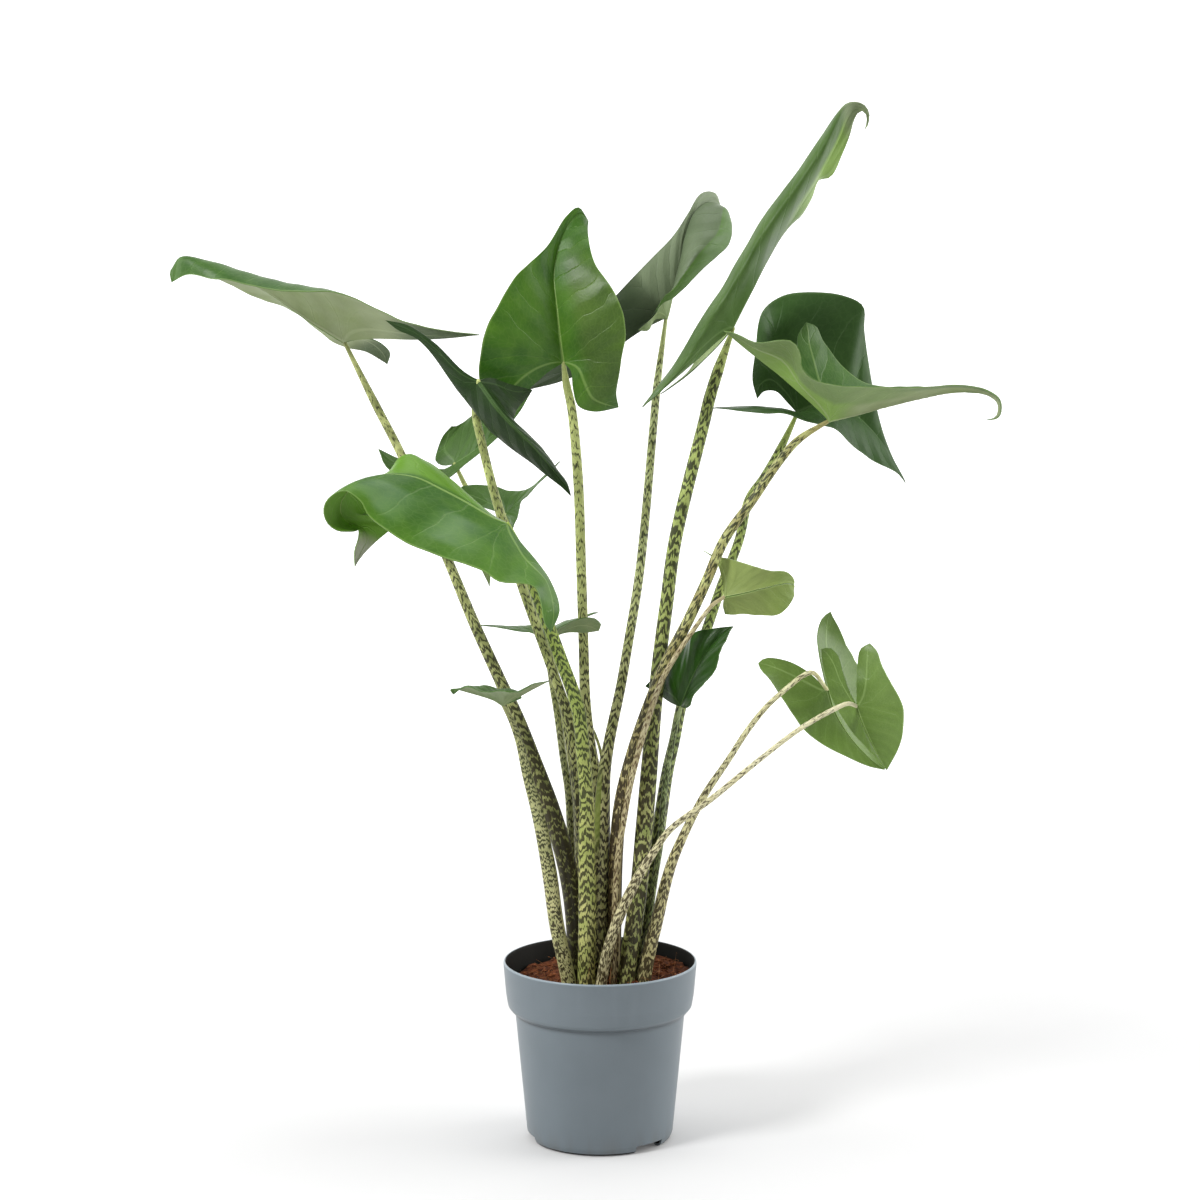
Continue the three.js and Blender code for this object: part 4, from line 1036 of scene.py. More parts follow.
@dataclass(frozen=True)
class StalkFinish:
    """A stalk's ground colours low and high, its bars and how dense they are.

    Its strip is a stretch without bars, and its line the pale edge of a sheath.
    """

    low: Screen = (200, 196, 140)
    high: Screen = (186, 196, 122)
    shade: Screen = (146, 154, 90)
    bar: Screen = (42, 34, 14)
    bar_high: Screen = (44, 48, 18)
    per_centimetre: float = 1.1
    chevrons: float = 4.0
    slope: float = 0.7
    cover_low: float = 0.25
    cover_high: float = -0.7
    breaks: float = 1.0
    strip_round: Optional[Pair] = None
    strip_along: Pair = (0.0, 1.0)
    strip_colour: Screen = (104, 116, 44)
    strip_share: float = 0.9
    line_turn: Optional[float] = None
    line_colour: Screen = (204, 202, 156)
    upper: Pair = (0.2, 0.75)
    patch_scale: float = 60.0
    patch_share: float = 0.75
    fleck_share: float = 0.4
    bar_share: float = 0.94
    rough: float = 0.5
    shine: float = 0.35
    relief: float = 0.35
    relief_depth: float = 0.0006

    def material(self, name: str, effects: EffectShelf, seed: float, length: float) -> Material:
        """The stalk's skin.

        Args:
            name: the material's name.
            effects: the shared groups.
            seed: shifts the bars.
            length: the stalk's length in centimetres.

        Returns:
            The material.
        """
        bench = SkinBench(name)
        layout = bench.surface_layout()
        zebra = bench.group(effects.zebra, Layout=layout, Length=length, Per_Centimetre=self.per_centimetre,
                            Chevrons=self.chevrons, Slope=self.slope, Cover_Low=self.cover_low,
                            Cover_High=self.cover_high, Break=self.breaks, Seed=seed)
        mottle = bench.group(effects.mottle, Place=bench.object_place(), Patch_Scale=self.patch_scale)
        rise = zebra["Rise"]
        upper = bench.band(rise, *self.upper)
        ground = bench.mix(upper, linear(self.low), linear(self.high))
        ground = bench.mix(bench.times(mottle["Patch"], self.patch_share), ground, linear(self.shade))
        bar = bench.mix(upper, linear(self.bar), linear(self.bar_high))
        colour = bench.mix(bench.times(zebra["Fleck"], self.fleck_share), ground, bar)
        colour = bench.mix(bench.times(zebra["Bars"], self.bar_share), colour, bar)
        around, along, _ = bench.split(layout)
        if self.strip_round:
            inside = bench.times(bench.window(around, *self.strip_round, 0.015),
                                 bench.window(rise, *self.strip_along, 0.03))
            colour = bench.mix(bench.times(inside, self.strip_share), colour, linear(self.strip_colour))
        if self.line_turn is not None:
            off_line = bench.math("ABSOLUTE", bench.minus(around, self.line_turn))
            line = bench.times(bench.band(off_line, 0.012, 0.03, 1.0, 0.0),
                               bench.band(rise, 0.36, 0.42, 0.85, 0.0))
            colour = bench.mix(line, colour, linear(self.line_colour))
        grooves = bench.noise(bench.join(bench.times(around, 40.0), bench.times(along, 0.5)), 1.0)
        height = bench.times_plus(zebra["Bars"], 0.15, grooves)
        return bench.coat(colour, self.rough, self.shine,
                          Normal=bench.bump(height, self.relief, self.relief_depth))


@dataclass(frozen=True)
class CoirFinish:
    """Coir's matt red-brown, from dark to light, with patches and grain."""

    dark: Screen
    light: Screen
    patch_scale: float = 180.0
    grain_share: float = 0.5
    rough: float = 0.95
    shine: float = 0.15
    relief: float = 0.8
    relief_depth: float = 0.001

    def material(self, name: str, effects: EffectShelf) -> Material:
        """The coir's skin.

        Args:
            name: the material's name.
            effects: the shared groups.

        Returns:
            The material.
        """
        bench = SkinBench(name)
        mottle = bench.group(effects.mottle, Place=bench.object_place(), Patch_Scale=self.patch_scale)
        colour = bench.mix(mottle["Patch"], linear(self.dark), linear(self.light))
        colour = bench.mix(bench.times(mottle["Grain"], self.grain_share), colour, linear(self.dark, 0.5))
        return bench.coat(colour, self.rough, self.shine,
                          Normal=bench.bump(mottle["Grain"], self.relief, self.relief_depth))


COIR_FINISHES = {
    "bed": CoirFinish(dark=(58, 30, 19), light=(120, 68, 42)),
    "crumb": CoirFinish(dark=(76, 38, 23), light=(158, 96, 58)),
    "fibre": CoirFinish(dark=(128, 78, 46), light=(190, 138, 92)),
}


@dataclass(frozen=True)
class PlasticFinish:
    """Moulded matt plastic with faint patches, flow lines, dust at the foot, a painted shadow under the band
    and a painted highlight on the lip.
    """

    base: Screen
    worn: Screen
    rough: float
    shine: float
    dust: Screen = (92, 84, 74)
    dust_height: float = 30.0
    dust_share: float = 0.3
    shadow_above: float = 1.0
    shadow_below: float = 6.0
    shadow_fade: float = 2.0
    shadow_share: float = 0.5
    lip_highlight_share: float = 0.38
    lip_highlight_gain: float = 1.5
    patch_scale: float = 14.0
    patch_share: float = 0.35
    flow_round: float = 60.0
    flow_up: float = 4.0
    flow_share: float = 0.25
    relief: float = 0.12
    relief_depth: float = 0.0004

    def material(self, name: str, effects: EffectShelf) -> Material:
        """The plastic's skin, with a painted shadow under the band and a painted highlight on the lip.

        Args:
            name: the material's name.
            effects: the shared groups.

        Returns:
            The material.
        """
        bench = SkinBench(name)
        place = bench.object_place()
        x, y, z = bench.split(place)
        mottle = bench.group(effects.mottle, Place=place, Patch_Scale=self.patch_scale)
        stretched = bench.join(bench.times(x, self.flow_round), bench.times(y, self.flow_round),
                               bench.times(z, self.flow_up))
        flow = bench.noise(stretched, 1.0, 3.0)
        patch = bench.times(mottle["Patch"], self.patch_share)
        colour = bench.mix(patch, linear(self.base), linear(self.worn))
        colour = bench.mix(bench.band(flow, 0.55, 0.8, 0.0, self.flow_share), colour, linear(self.worn))
        dust = bench.times(bench.band(z, 0.0, self.dust_height * MM, 1.0, 0.0), bench.band(flow, 0.4, 0.7))
        colour = bench.mix(bench.times(dust, self.dust_share), colour, linear(self.dust))
        # Painted shadow: a darker band just under the rim band's lower edge
        band_edge_height = POT_HEIGHT - BAND_HEIGHT
        top = band_edge_height + self.shadow_above
        shade = bench.times(bench.band(z, (band_edge_height - self.shadow_below) * MM, band_edge_height * MM, 0.0, self.shadow_share),
                            bench.band(z, top * MM, (top + self.shadow_fade) * MM, 1.0, 0.0))
        colour = bench.mix(shade, colour, linear(self.base, 0.5))
        # Painted highlight: a paler line along the top of the lip
        lip = bench.band(z, (POT_HEIGHT - LIP) * MM, (POT_HEIGHT - LIP / 2) * MM, 0.0, self.lip_highlight_share)
        colour = bench.mix(lip, colour, linear(self.worn, self.lip_highlight_gain))
        return bench.coat(colour, bench.times_plus(mottle["Patch"], 0.08, self.rough), self.shine,
                          Normal=bench.bump(mottle["Grain"], self.relief, self.relief_depth))


PLASTIC_OUTSIDE = PlasticFinish(base=(102, 112, 118), worn=(116, 126, 132), rough=0.36, shine=0.45)
# Nearly black plastic for the pot's inside; it is also laid under the floor as painted shade
PLASTIC_INSIDE_AND_SHADE = PlasticFinish(base=(14, 15, 11), worn=(30, 28, 22), rough=0.6, shine=0.2)


@dataclass(frozen=True)
class BladeSection:
    """A section across one half: three guiding points, the way up, the width and the share along the edge."""

    inner: Vector
    middle: Vector
    outer: Vector
    up: Vector
    width: float
    share: float

    def point(self, s: float) -> Vector:
        """Point on the arc through the three guides, from the rib, 0, to the edge, 1."""
        near = self.inner * (1 - s) * (1 - 2 * s) + self.middle * 4 * s * (1 - s)
        return near + self.outer * s * (2 * s - 1)


@dataclass
class Blade:
    """One arrow-shaped blade, bent from two grids that meet along the rib."""

    name: str
    plan: LeafPlan
    finish: BladeFinish
    phase: float
    tints: list[Tint] = field(default_factory=list)
    side_veins: float = 9.0
    sweep: float = 1.4
    lobe_rows: int = 22
    rib_rows: int = 52
    columns: int = 16
    junction_share: float = 0.3
    rib_depth: float = 3.2
    rib_reach: float = 5.0
    rib_taper: float = 0.7
    rib_steps: int = 80
    quilt_depth: float = 0.5
    ripple: float = 1.4
    ripples_along: float = 16.0
    ripples_across: float = 2.0
    weld_reach: float = 0.02
    smooth_angle: float = 70.0

    def _sections(self, side: Side) -> list[BladeSection]:
        """The sections of one half, from the back lobe to the blade's tip.

        Args:
            side: the half.

        Returns:
            The sections.
        """
        half: HalfPlan = getattr(self.plan, side.value)
        turn = 1.0 if side is Side.LEFT else -1.0
        rib = SplineRun(self.plan.rib)
        notch = SplineRun([half.lobe, *half.notch, self.plan.rib[0]])
        edge = SplineRun([half.lobe, *half.edge, self.plan.rib[-1]])
        crest = SplineRun([half.lobe, *half.crest, self.plan.rib[-1]]) if half.crest else None
        whole = notch.length + rib.length
        sections = []
        for row in range(self.lobe_rows + self.rib_rows + 1):
            if row <= self.lobe_rows:
                part = row / self.lobe_rows
                inner, share = notch.point(part), part * notch.length / whole
            else:
                part = (row - self.lobe_rows) / self.rib_rows
                inner, share = rib.point(part), (notch.length + part * rib.length) / whole
            outer = edge.point(share)
            across = outer - inner
            width = across.length
            up = edge.tangent(share).cross(across) * turn / max(width, TINY)
            middle = (inner + outer) / 2
            if crest:
                lift = crest.point(share) - middle
                middle += lift * min(1.0, CREST_REACH * width / max(lift.length, TINY))
            else:
                middle += up * BLADE_ARCH * width
            sections.append(BladeSection(inner, middle, outer, up, width, share))
        return sections

    def _along(self, row: int) -> float:
        """The layout's y at a row: the junction is at the same share on both halves."""
        if row <= self.lobe_rows:
            return self.junction_share * row / self.lobe_rows
        return self.junction_share + (1.0 - self.junction_share) * (row - self.lobe_rows) / self.rib_rows

    def _quilt(self, row: int, s: float) -> float:
        """How far the blade swells between two side veins.

        Args:
            row: the row.
            s: the share from the rib to the edge.

        Returns:
            The swell, from 0 on a vein to 1 between two.
        """
        along = self._along(row) - self.junction_share
        reach = s
        if along < 0:
            reach = abs(s - LOBE_RIB_LEAN * (-along / self.junction_share) ** LOBE_RIB_CURVE)
        phase = abs(along) * self.side_veins - self.sweep * reach**VEIN_CURVE
        return 1.0 - 2.0 * abs(phase % 1.0 - 0.5)

    def _half(self, side: Side) -> Piece:
        """Bends one half, waved at its edge and puckered between its veins.

        Args:
            side: the half.

        Returns:
            The bent grid.
        """
        sections = self._sections(side)
        last = len(sections) - 1

        def across_share(column: int) -> float:
            """Share from the rib, 0, to the edge, 1."""
            return 1.0 - column / self.columns if side is Side.LEFT else column / self.columns

        def place(column: int, row: int) -> Vector:
            """Point on the waved and puckered half."""
            section = sections[row]
            s = across_share(column)
            if row in (0, last):
                return section.point(s)
            room = min(1.0, section.width / FULL_WAVE_WIDTH)
            swing = math.sin(2 * math.pi * EDGE_WAVES * section.share + self.phase) * EDGE_WAVE * s * s
            spot = Vector((section.share * self.ripples_along, s * self.ripples_across, self.phase))
            small = noise(spot) * self.ripple * s * s
            swell = (self._quilt(row, s) - 0.5) * self.quilt_depth * min(1.0, 4.0 * s, 6.0 * (1.0 - s))
            return section.point(s) + section.up * (room * (swing + small + swell) + BLADE_THICKNESS / 2)

        def layout(column: int, row: int) -> Pair:
            """Signed share across and share along."""
            s = across_share(column)
            return (-s if side is Side.LEFT else s, self._along(row))

        return shaped_grid(f"{self.name}_{side.value}", self.columns, last, place, layout)

    def _thicken(self, piece: Piece) -> None:
        """Gives the joined sheet its thickness, with the rib raised under it.

        Args:
            piece: the joined sheet.
        """
        thick = piece.vertex_groups.new(name="rib")
        rib = SplineRun(self.plan.rib)
        shares = [step / self.rib_steps for step in range(self.rib_steps + 1)]
        spots = [(rib.point(share), share) for share in shares]
        for vertex in piece.data.vertices:
            spot = vertex.co / MM
            away, share = min(((spot - place).length, part) for place, part in spots)
            reach = self.rib_reach * (1.0 - self.rib_taper * share)
            weight = max(0.0, 1.0 - away / reach) * (1.0 - share) ** self.rib_taper
            thick.add([vertex.index], weight, "REPLACE")
        sheet = piece.modifiers.new("sheet", "SOLIDIFY")
        sheet.thickness = self.rib_depth * MM
        sheet.offset = -1.0
        sheet.vertex_group = "rib"
        sheet.thickness_vertex_group = BLADE_THICKNESS / self.rib_depth
        sheet.material_offset = 1

    def build(self, effects: EffectShelf) -> Piece:
        """Bends, joins, thickens and dresses the blade.

        Args:
            effects: the shared shader groups.

        Returns:
            The finished blade.
        """
        piece = join_all([self._half(side) for side in Side], f"blade_{self.name}")
        weld(piece, self.weld_reach)
        self._thicken(piece)
        values = {"Junction": self.junction_share, "Count": self.side_veins, "Sweep": self.sweep}
        for top in (True, False):
            skin = self.finish.material(self.name, effects, values, self.tints, top)
            piece.data.materials.append(skin)
        apply_all(piece)
        smooth(piece, self.smooth_angle)
        return piece


@dataclass(frozen=True)
class StalkSection:
    """A ring of a stalk: its centre, two directions across, its radius and the share along the stalk."""

    centre: Vector
    front: Vector
    beside: Vector
    radius: float
    share: float


@dataclass
class Stalk:
    """One stalk: a tapered round tube, with the lip of its sheath lower down."""

    name: str
    plan: LeafPlan
    finish: StalkFinish
    seed: float
    lip_turn: float = 0.3
    lip_height: float = 0.12
    lip_width: float = 0.22
    sheath_share: float = 0.42
    flutes: int = 3
    flute_depth: float = 0.025
    sides: int = 28
    step_length: float = 4.0
    fewest_rows: int = 40
    end_rows: int = 3
    end_length: float = 0.8
    weld_reach: float = 0.01
    smooth_angle: float = 60.0

    def _path(self) -> tuple[list[Point], list[float]]:
        """Places and radii from inside the stalk's hole in the coir up to the blade's junction."""
        x, y, _, radius = self.plan.stalk[-1]
        girths = [(x, y, SOIL_LEVEL - SOCKET_DEPTH / 2, radius), *reversed(self.plan.stalk)]
        girths.append((*self.plan.rib[0], STALK_TIP_RADIUS))
        return [girth[:3] for girth in girths], [girth[3] for girth in girths]

    def _sections(self, run: SplineRun, radii: list[float]) -> list[StalkSection]:
        """Lays out the rings, with a rounded cap at each end.

        Args:
            run: the stalk's middle line.
            radii: the radius at each place of that line.

        Returns:
            The rings, from the foot up.
        """
        rows = max(self.fewest_rows, int(run.length / self.step_length))
        last = rows + 2 * self.end_rows
        sections = []
        for row in range(last + 1):
            share = min(max(row - self.end_rows, 0), rows) / rows
            cap = max(self.end_rows - row, row - self.end_rows - rows, 0) / self.end_rows * math.pi / 2
            along = run.parameter(share) * (len(radii) - 1)
            index = min(int(along), len(radii) - 2)
            blend = along - index
            radius = radii[index] * (1 - blend) + radii[index + 1] * blend
            tangent = run.tangent(share)
            front = Vector((0.0, -1.0, 0.0))
            front = (front - tangent * front.dot(tangent)).normalized()
            shift = math.sin(cap) * radius * self.end_length
            centre = run.point(share) + tangent * (shift if row > last / 2 else -shift)
            sections.append(StalkSection(centre, front, tangent.cross(front), radius * math.cos(cap), share))
        return sections

    def build(self, effects: EffectShelf) -> Piece:
        """Bends and dresses the stalk.

        Args:
            effects: the shared shader groups.

        Returns:
            The finished stalk.
        """
        places, radii = self._path()
        run = SplineRun(places)
        sections = self._sections(run, radii)
        last = len(sections) - 1
        centimetres = run.length / 10.0

        def place(column: int, row: int) -> Vector:
            """Point on the tube, with its sheath lip and shallow flutes."""
            section = sections[row]
            if row in (0, last):
                return section.centre
            turn = 2 * math.pi * column / self.sides
            fold = max(0.0, 1.0 - section.share / self.sheath_share)
            past = (column / self.sides - self.lip_turn) % 1.0
            lip = self.lip_height * min(1.0, fold * 3.0) * max(0.0, 1.0 - past / self.lip_width)
            flute = 1.0 + self.flute_depth * math.sin(self.flutes * turn + self.seed) + lip
            out = section.front * math.cos(turn) + section.beside * math.sin(turn)
            return section.centre + out * section.radius * flute

        def layout(column: int, row: int) -> Pair:
            """Turns round the stalk and centimetres along it."""
            return (column / self.sides, sections[row].share * centimetres)

        piece = shaped_grid(f"stalk_{self.name}", self.sides, last, place, layout)
        weld(piece, self.weld_reach)
        skin = self.finish.material(f"{self.name}_stalk", effects, self.seed, centimetres)
        piece.data.materials.append(skin)
        smooth(piece, self.smooth_angle)
        return piece


def soil_height(x: float, y: float) -> float:
    """Height of the coir at a place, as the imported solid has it.

    Args:
        x: the place across, in millimetres.
        y: the place towards the back.

    Returns:
        The height, in millimetres.
    """
    x_pace, x_start, y_pace, y_start = CROSS_WAVE
    x_slant, y_slant, share = SLANT_WAVE
    cross = math.sin(x * x_pace + x_start) * math.cos(y * y_pace + y_start)
    bumps = cross + share * math.sin(x * x_slant + y * y_slant)
    return SOIL_LEVEL + SOIL_TILT * (x + 0.5 * y) / RIM_RADIUS + SOIL_BUMP * bumps


@dataclass(frozen=True)
class Fibre:
    """One fibre of coir: where it starts, its heading in radians, length, rise in a millimetre and radius."""

    x: float
    y: float
    heading: float
    length: float
    rise: float
    radius: float


@dataclass
class Coir:
    """The bed of coir, with crumbs and fibres lying on it."""

    reach: float = BAND_FOOT_RADIUS - WALL - 0.5
    bed_sides: int = 120
    bed_rings: int = 46
    bed_depth: float = 16.0
    bed_inset: float = 3.0
    lumps: tuple[Point, ...] = ((0.16, 3.0, 2.2), (0.5, 7.0, 1.3))
    weld_reach: float = 0.01
    smooth_angle: float = 50.0
    crumb_count: int = 900
    crumb_margin: float = 4.0
    crumb_size: Pair = (0.6, 2.6)
    crumb_stretch: tuple[Pair, ...] = ((0.6, 1.6), (0.5, 1.0), (0.4, 0.9))
    crumb_turn: float = 6.28
    crumb_tilt: float = 3.14
    crumb_jag: float = 0.3
    crumb_lift: float = 0.2
    fibre_count: int = 420
    fibre_points: int = 6
    fibre_sides: int = 3
    fibre_margin: float = 2.0
    fibre_length: Pair = (6.0, 22.0)
    fibre_radius: Pair = (0.12, 0.3)
    fibre_bend: float = 0.5
    fibre_kink: float = 0.3
    fibre_drop: float = 0.12
    fibre_taper: float = 0.6
    fibre_start: float = 0.3
    fibre_clear: float = 0.1
    wall_clear: float = 1.0
    wall_turn: float = math.pi * 0.6
    lying_rise: Pair = (-0.1, 0.35)
    standing_rise: Pair = (0.5, 1.1)
    standing_one_in: int = 12
    strays: tuple[Fibre, ...] = (
        Fibre(69.0, -46.0, heading=0.6, length=7.0, rise=6.2, radius=0.5),
        Fibre(56.0, -64.0, heading=-1.4, length=6.0, rise=7.4, radius=0.35),
        Fibre(12.0, -82.0, heading=2.6, length=9.0, rise=4.6, radius=0.35),
        Fibre(-16.0, -81.0, heading=0.4, length=8.0, rise=5.0, radius=0.3),
    )
    seed: int = 11

    def _height(self, x: float, y: float) -> float:
        """Height of the fine surface: the solid's, with lumps of a pace, a seed and a height."""
        lumps = sum(noise(Vector((x * pace, y * pace, seed))) * size for pace, seed, size in self.lumps)
        return soil_height(x, y) + lumps

    def _bed(self) -> Piece:
        """Bends the rough surface, closed underneath.

        Returns:
            The bed.
        """
        rings = self.bed_rings

        def place(column: int, row: int) -> Vector:
            """Point on the bed's top, skirt or underside."""
            turn = -2 * math.pi * column / self.bed_sides
            if row <= rings:
                radius = self.reach * row / rings
                x, y = radius * math.cos(turn), radius * math.sin(turn)
                return Vector((x, y, self._height(x, y)))
            radius = self.reach - self.bed_inset if row == rings + 1 else 0.0
            return Vector((radius * math.cos(turn), radius * math.sin(turn), SOIL_LEVEL - self.bed_depth))

        def layout(column: int, row: int) -> Pair:
            """Turns round the bed and share from its middle."""
            return (column / self.bed_sides, row / rings)

        bed = shaped_grid("coir_bed", self.bed_sides, rings + 2, place, layout)
        weld(bed, self.weld_reach)
        smooth(bed, self.smooth_angle)
        return bed

    def _spot(self, draw: random.Random, margin: float) -> Pair:
        """A random place on the bed, a margin away from the wall."""
        radius = (self.reach - margin) * math.sqrt(draw.random())
        turn = draw.uniform(0.0, 2 * math.pi)
        return radius * math.cos(turn), radius * math.sin(turn)

    def _crumbs(self) -> Piece:
        """Small angular crumbs, copied from one primitive.

        Returns:
            The crumbs as one piece.
        """
        model = primitive(bpy.ops.mesh.primitive_ico_sphere_add, "crumb", subdivisions=1, radius=1.0)
        corners = [vertex.co.copy() for vertex in model.data.vertices]
        faces = [tuple(face.vertices) for face in model.data.polygons]
        bpy.data.objects.remove(model)
        draw = random.Random(self.seed)
        points: list[Vector] = []
        sides: list[tuple[int, ...]] = []
        for _ in range(self.crumb_count):
            x, y = self._spot(draw, self.crumb_margin)
            size = draw.uniform(*self.crumb_size)
            turn = Matrix.Rotation(draw.uniform(0, self.crumb_turn), 3, "Z")
            turn = turn @ Matrix.Rotation(draw.uniform(0, self.crumb_tilt), 3, "X")
            stretch = Vector([draw.uniform(*limits) for limits in self.crumb_stretch])
            centre = Vector((x, y, self._height(x, y) + self.crumb_lift * size))
            base = len(points)
            for corner in corners:
                jag = 1.0 + draw.uniform(-self.crumb_jag, self.crumb_jag)
                points.append((centre + turn @ (corner * stretch * size * jag)) * MM)
            sides.extend(tuple(base + index for index in face) for face in faces)
        return mesh_piece("coir_crumbs", points, sides)

    def _plan_fibre(self, draw: random.Random, count: int) -> tuple[Fibre, float]:
        """Draws one fibre; the first few are the strays, which stand up at the rim.

        Args:
            draw: the random source.
            count: the fibre's number.

        Returns:
            The fibre and how far it bends at each step.
        """
        x, y = self._spot(draw, self.fibre_margin)
        heading = draw.uniform(0, 2 * math.pi)
        length = draw.uniform(*self.fibre_length)
        rise = draw.uniform(*(self.lying_rise if count % self.standing_one_in else self.standing_rise))
        radius = draw.uniform(*self.fibre_radius)
        bend = draw.uniform(-self.fibre_bend, self.fibre_bend)
        if count < len(self.strays):
            return self.strays[count], bend
        return Fibre(x, y, heading, length, rise, radius), bend

    def _fibre_line(self, draw: random.Random, fibre: Fibre, bend: float) -> list[Vector]:
        """Lays one fibre over the bed, bent and turned back from the wall.

        Args:
            draw: the random source.
            fibre: its plan.
            bend: how far it bends at each step.

        Returns:
            The points of its thin tube, ring by ring.
        """
        x, y, heading, rise = fibre.x, fibre.y, fibre.heading, fibre.rise
        z = self._height(x, y) + self.fibre_start
        stride = fibre.length / self.fibre_points
        points = []
        for step in range(self.fibre_points):
            if math.hypot(x, y) > self.reach - self.wall_clear:
                heading += self.wall_turn
            off_middle = abs(2 * step / (self.fibre_points - 1) - 1)
            thin = fibre.radius * (1.0 - self.fibre_taper * off_middle)
            side = Vector((-math.sin(heading), math.cos(heading), 0.0))
            centre = Vector((x, y, max(z, self._height(x, y) + self.fibre_clear)))
            for corner in range(self.fibre_sides):
                turn = 2 * math.pi * corner / self.fibre_sides
                offset = side * math.cos(turn) * thin + Vector((0, 0, 1)) * math.sin(turn) * thin
                points.append((centre + offset) * MM)
            x += math.cos(heading) * stride
            y += math.sin(heading) * stride
            z += rise * stride
            heading += bend + draw.uniform(-self.fibre_kink, self.fibre_kink)
            rise -= self.fibre_drop
        return points

    def _fibres(self) -> Piece:
        """Thin bent fibres lying on the bed, a few of them standing.

        Returns:
            The fibres as one piece.
        """
        draw = random.Random(self.seed + 1)
        around = self.fibre_sides
        points: list[Vector] = []
        sides: list[tuple[int, ...]] = []
        for count in range(self.fibre_count):
            base = len(points)
            points.extend(self._fibre_line(draw, *self._plan_fibre(draw, count)))
            end = len(points) - around
            for ring in range(base, end, around):
                for corner in range(around):
                    here, beside = ring + corner, ring + (corner + 1) % around
                    sides.append((here, beside, beside + around, here + around))
            sides.append(tuple(reversed(range(base, base + around))))
            sides.append(tuple(range(end, end + around)))
        return mesh_piece("coir_fibres", points, sides)

    def build(self, effects: EffectShelf) -> list[Piece]:
        """Builds and dresses the three pieces.

        Args:
            effects: the shared shader groups.

        Returns:
            The bed, the crumbs and the fibres.
        """
        pieces = [self._bed(), self._crumbs(), self._fibres()]
        for piece, (name, finish) in zip(pieces, COIR_FINISHES.items()):
            piece.data.materials.append(finish.material(f"coir_{name}", effects))
        return pieces


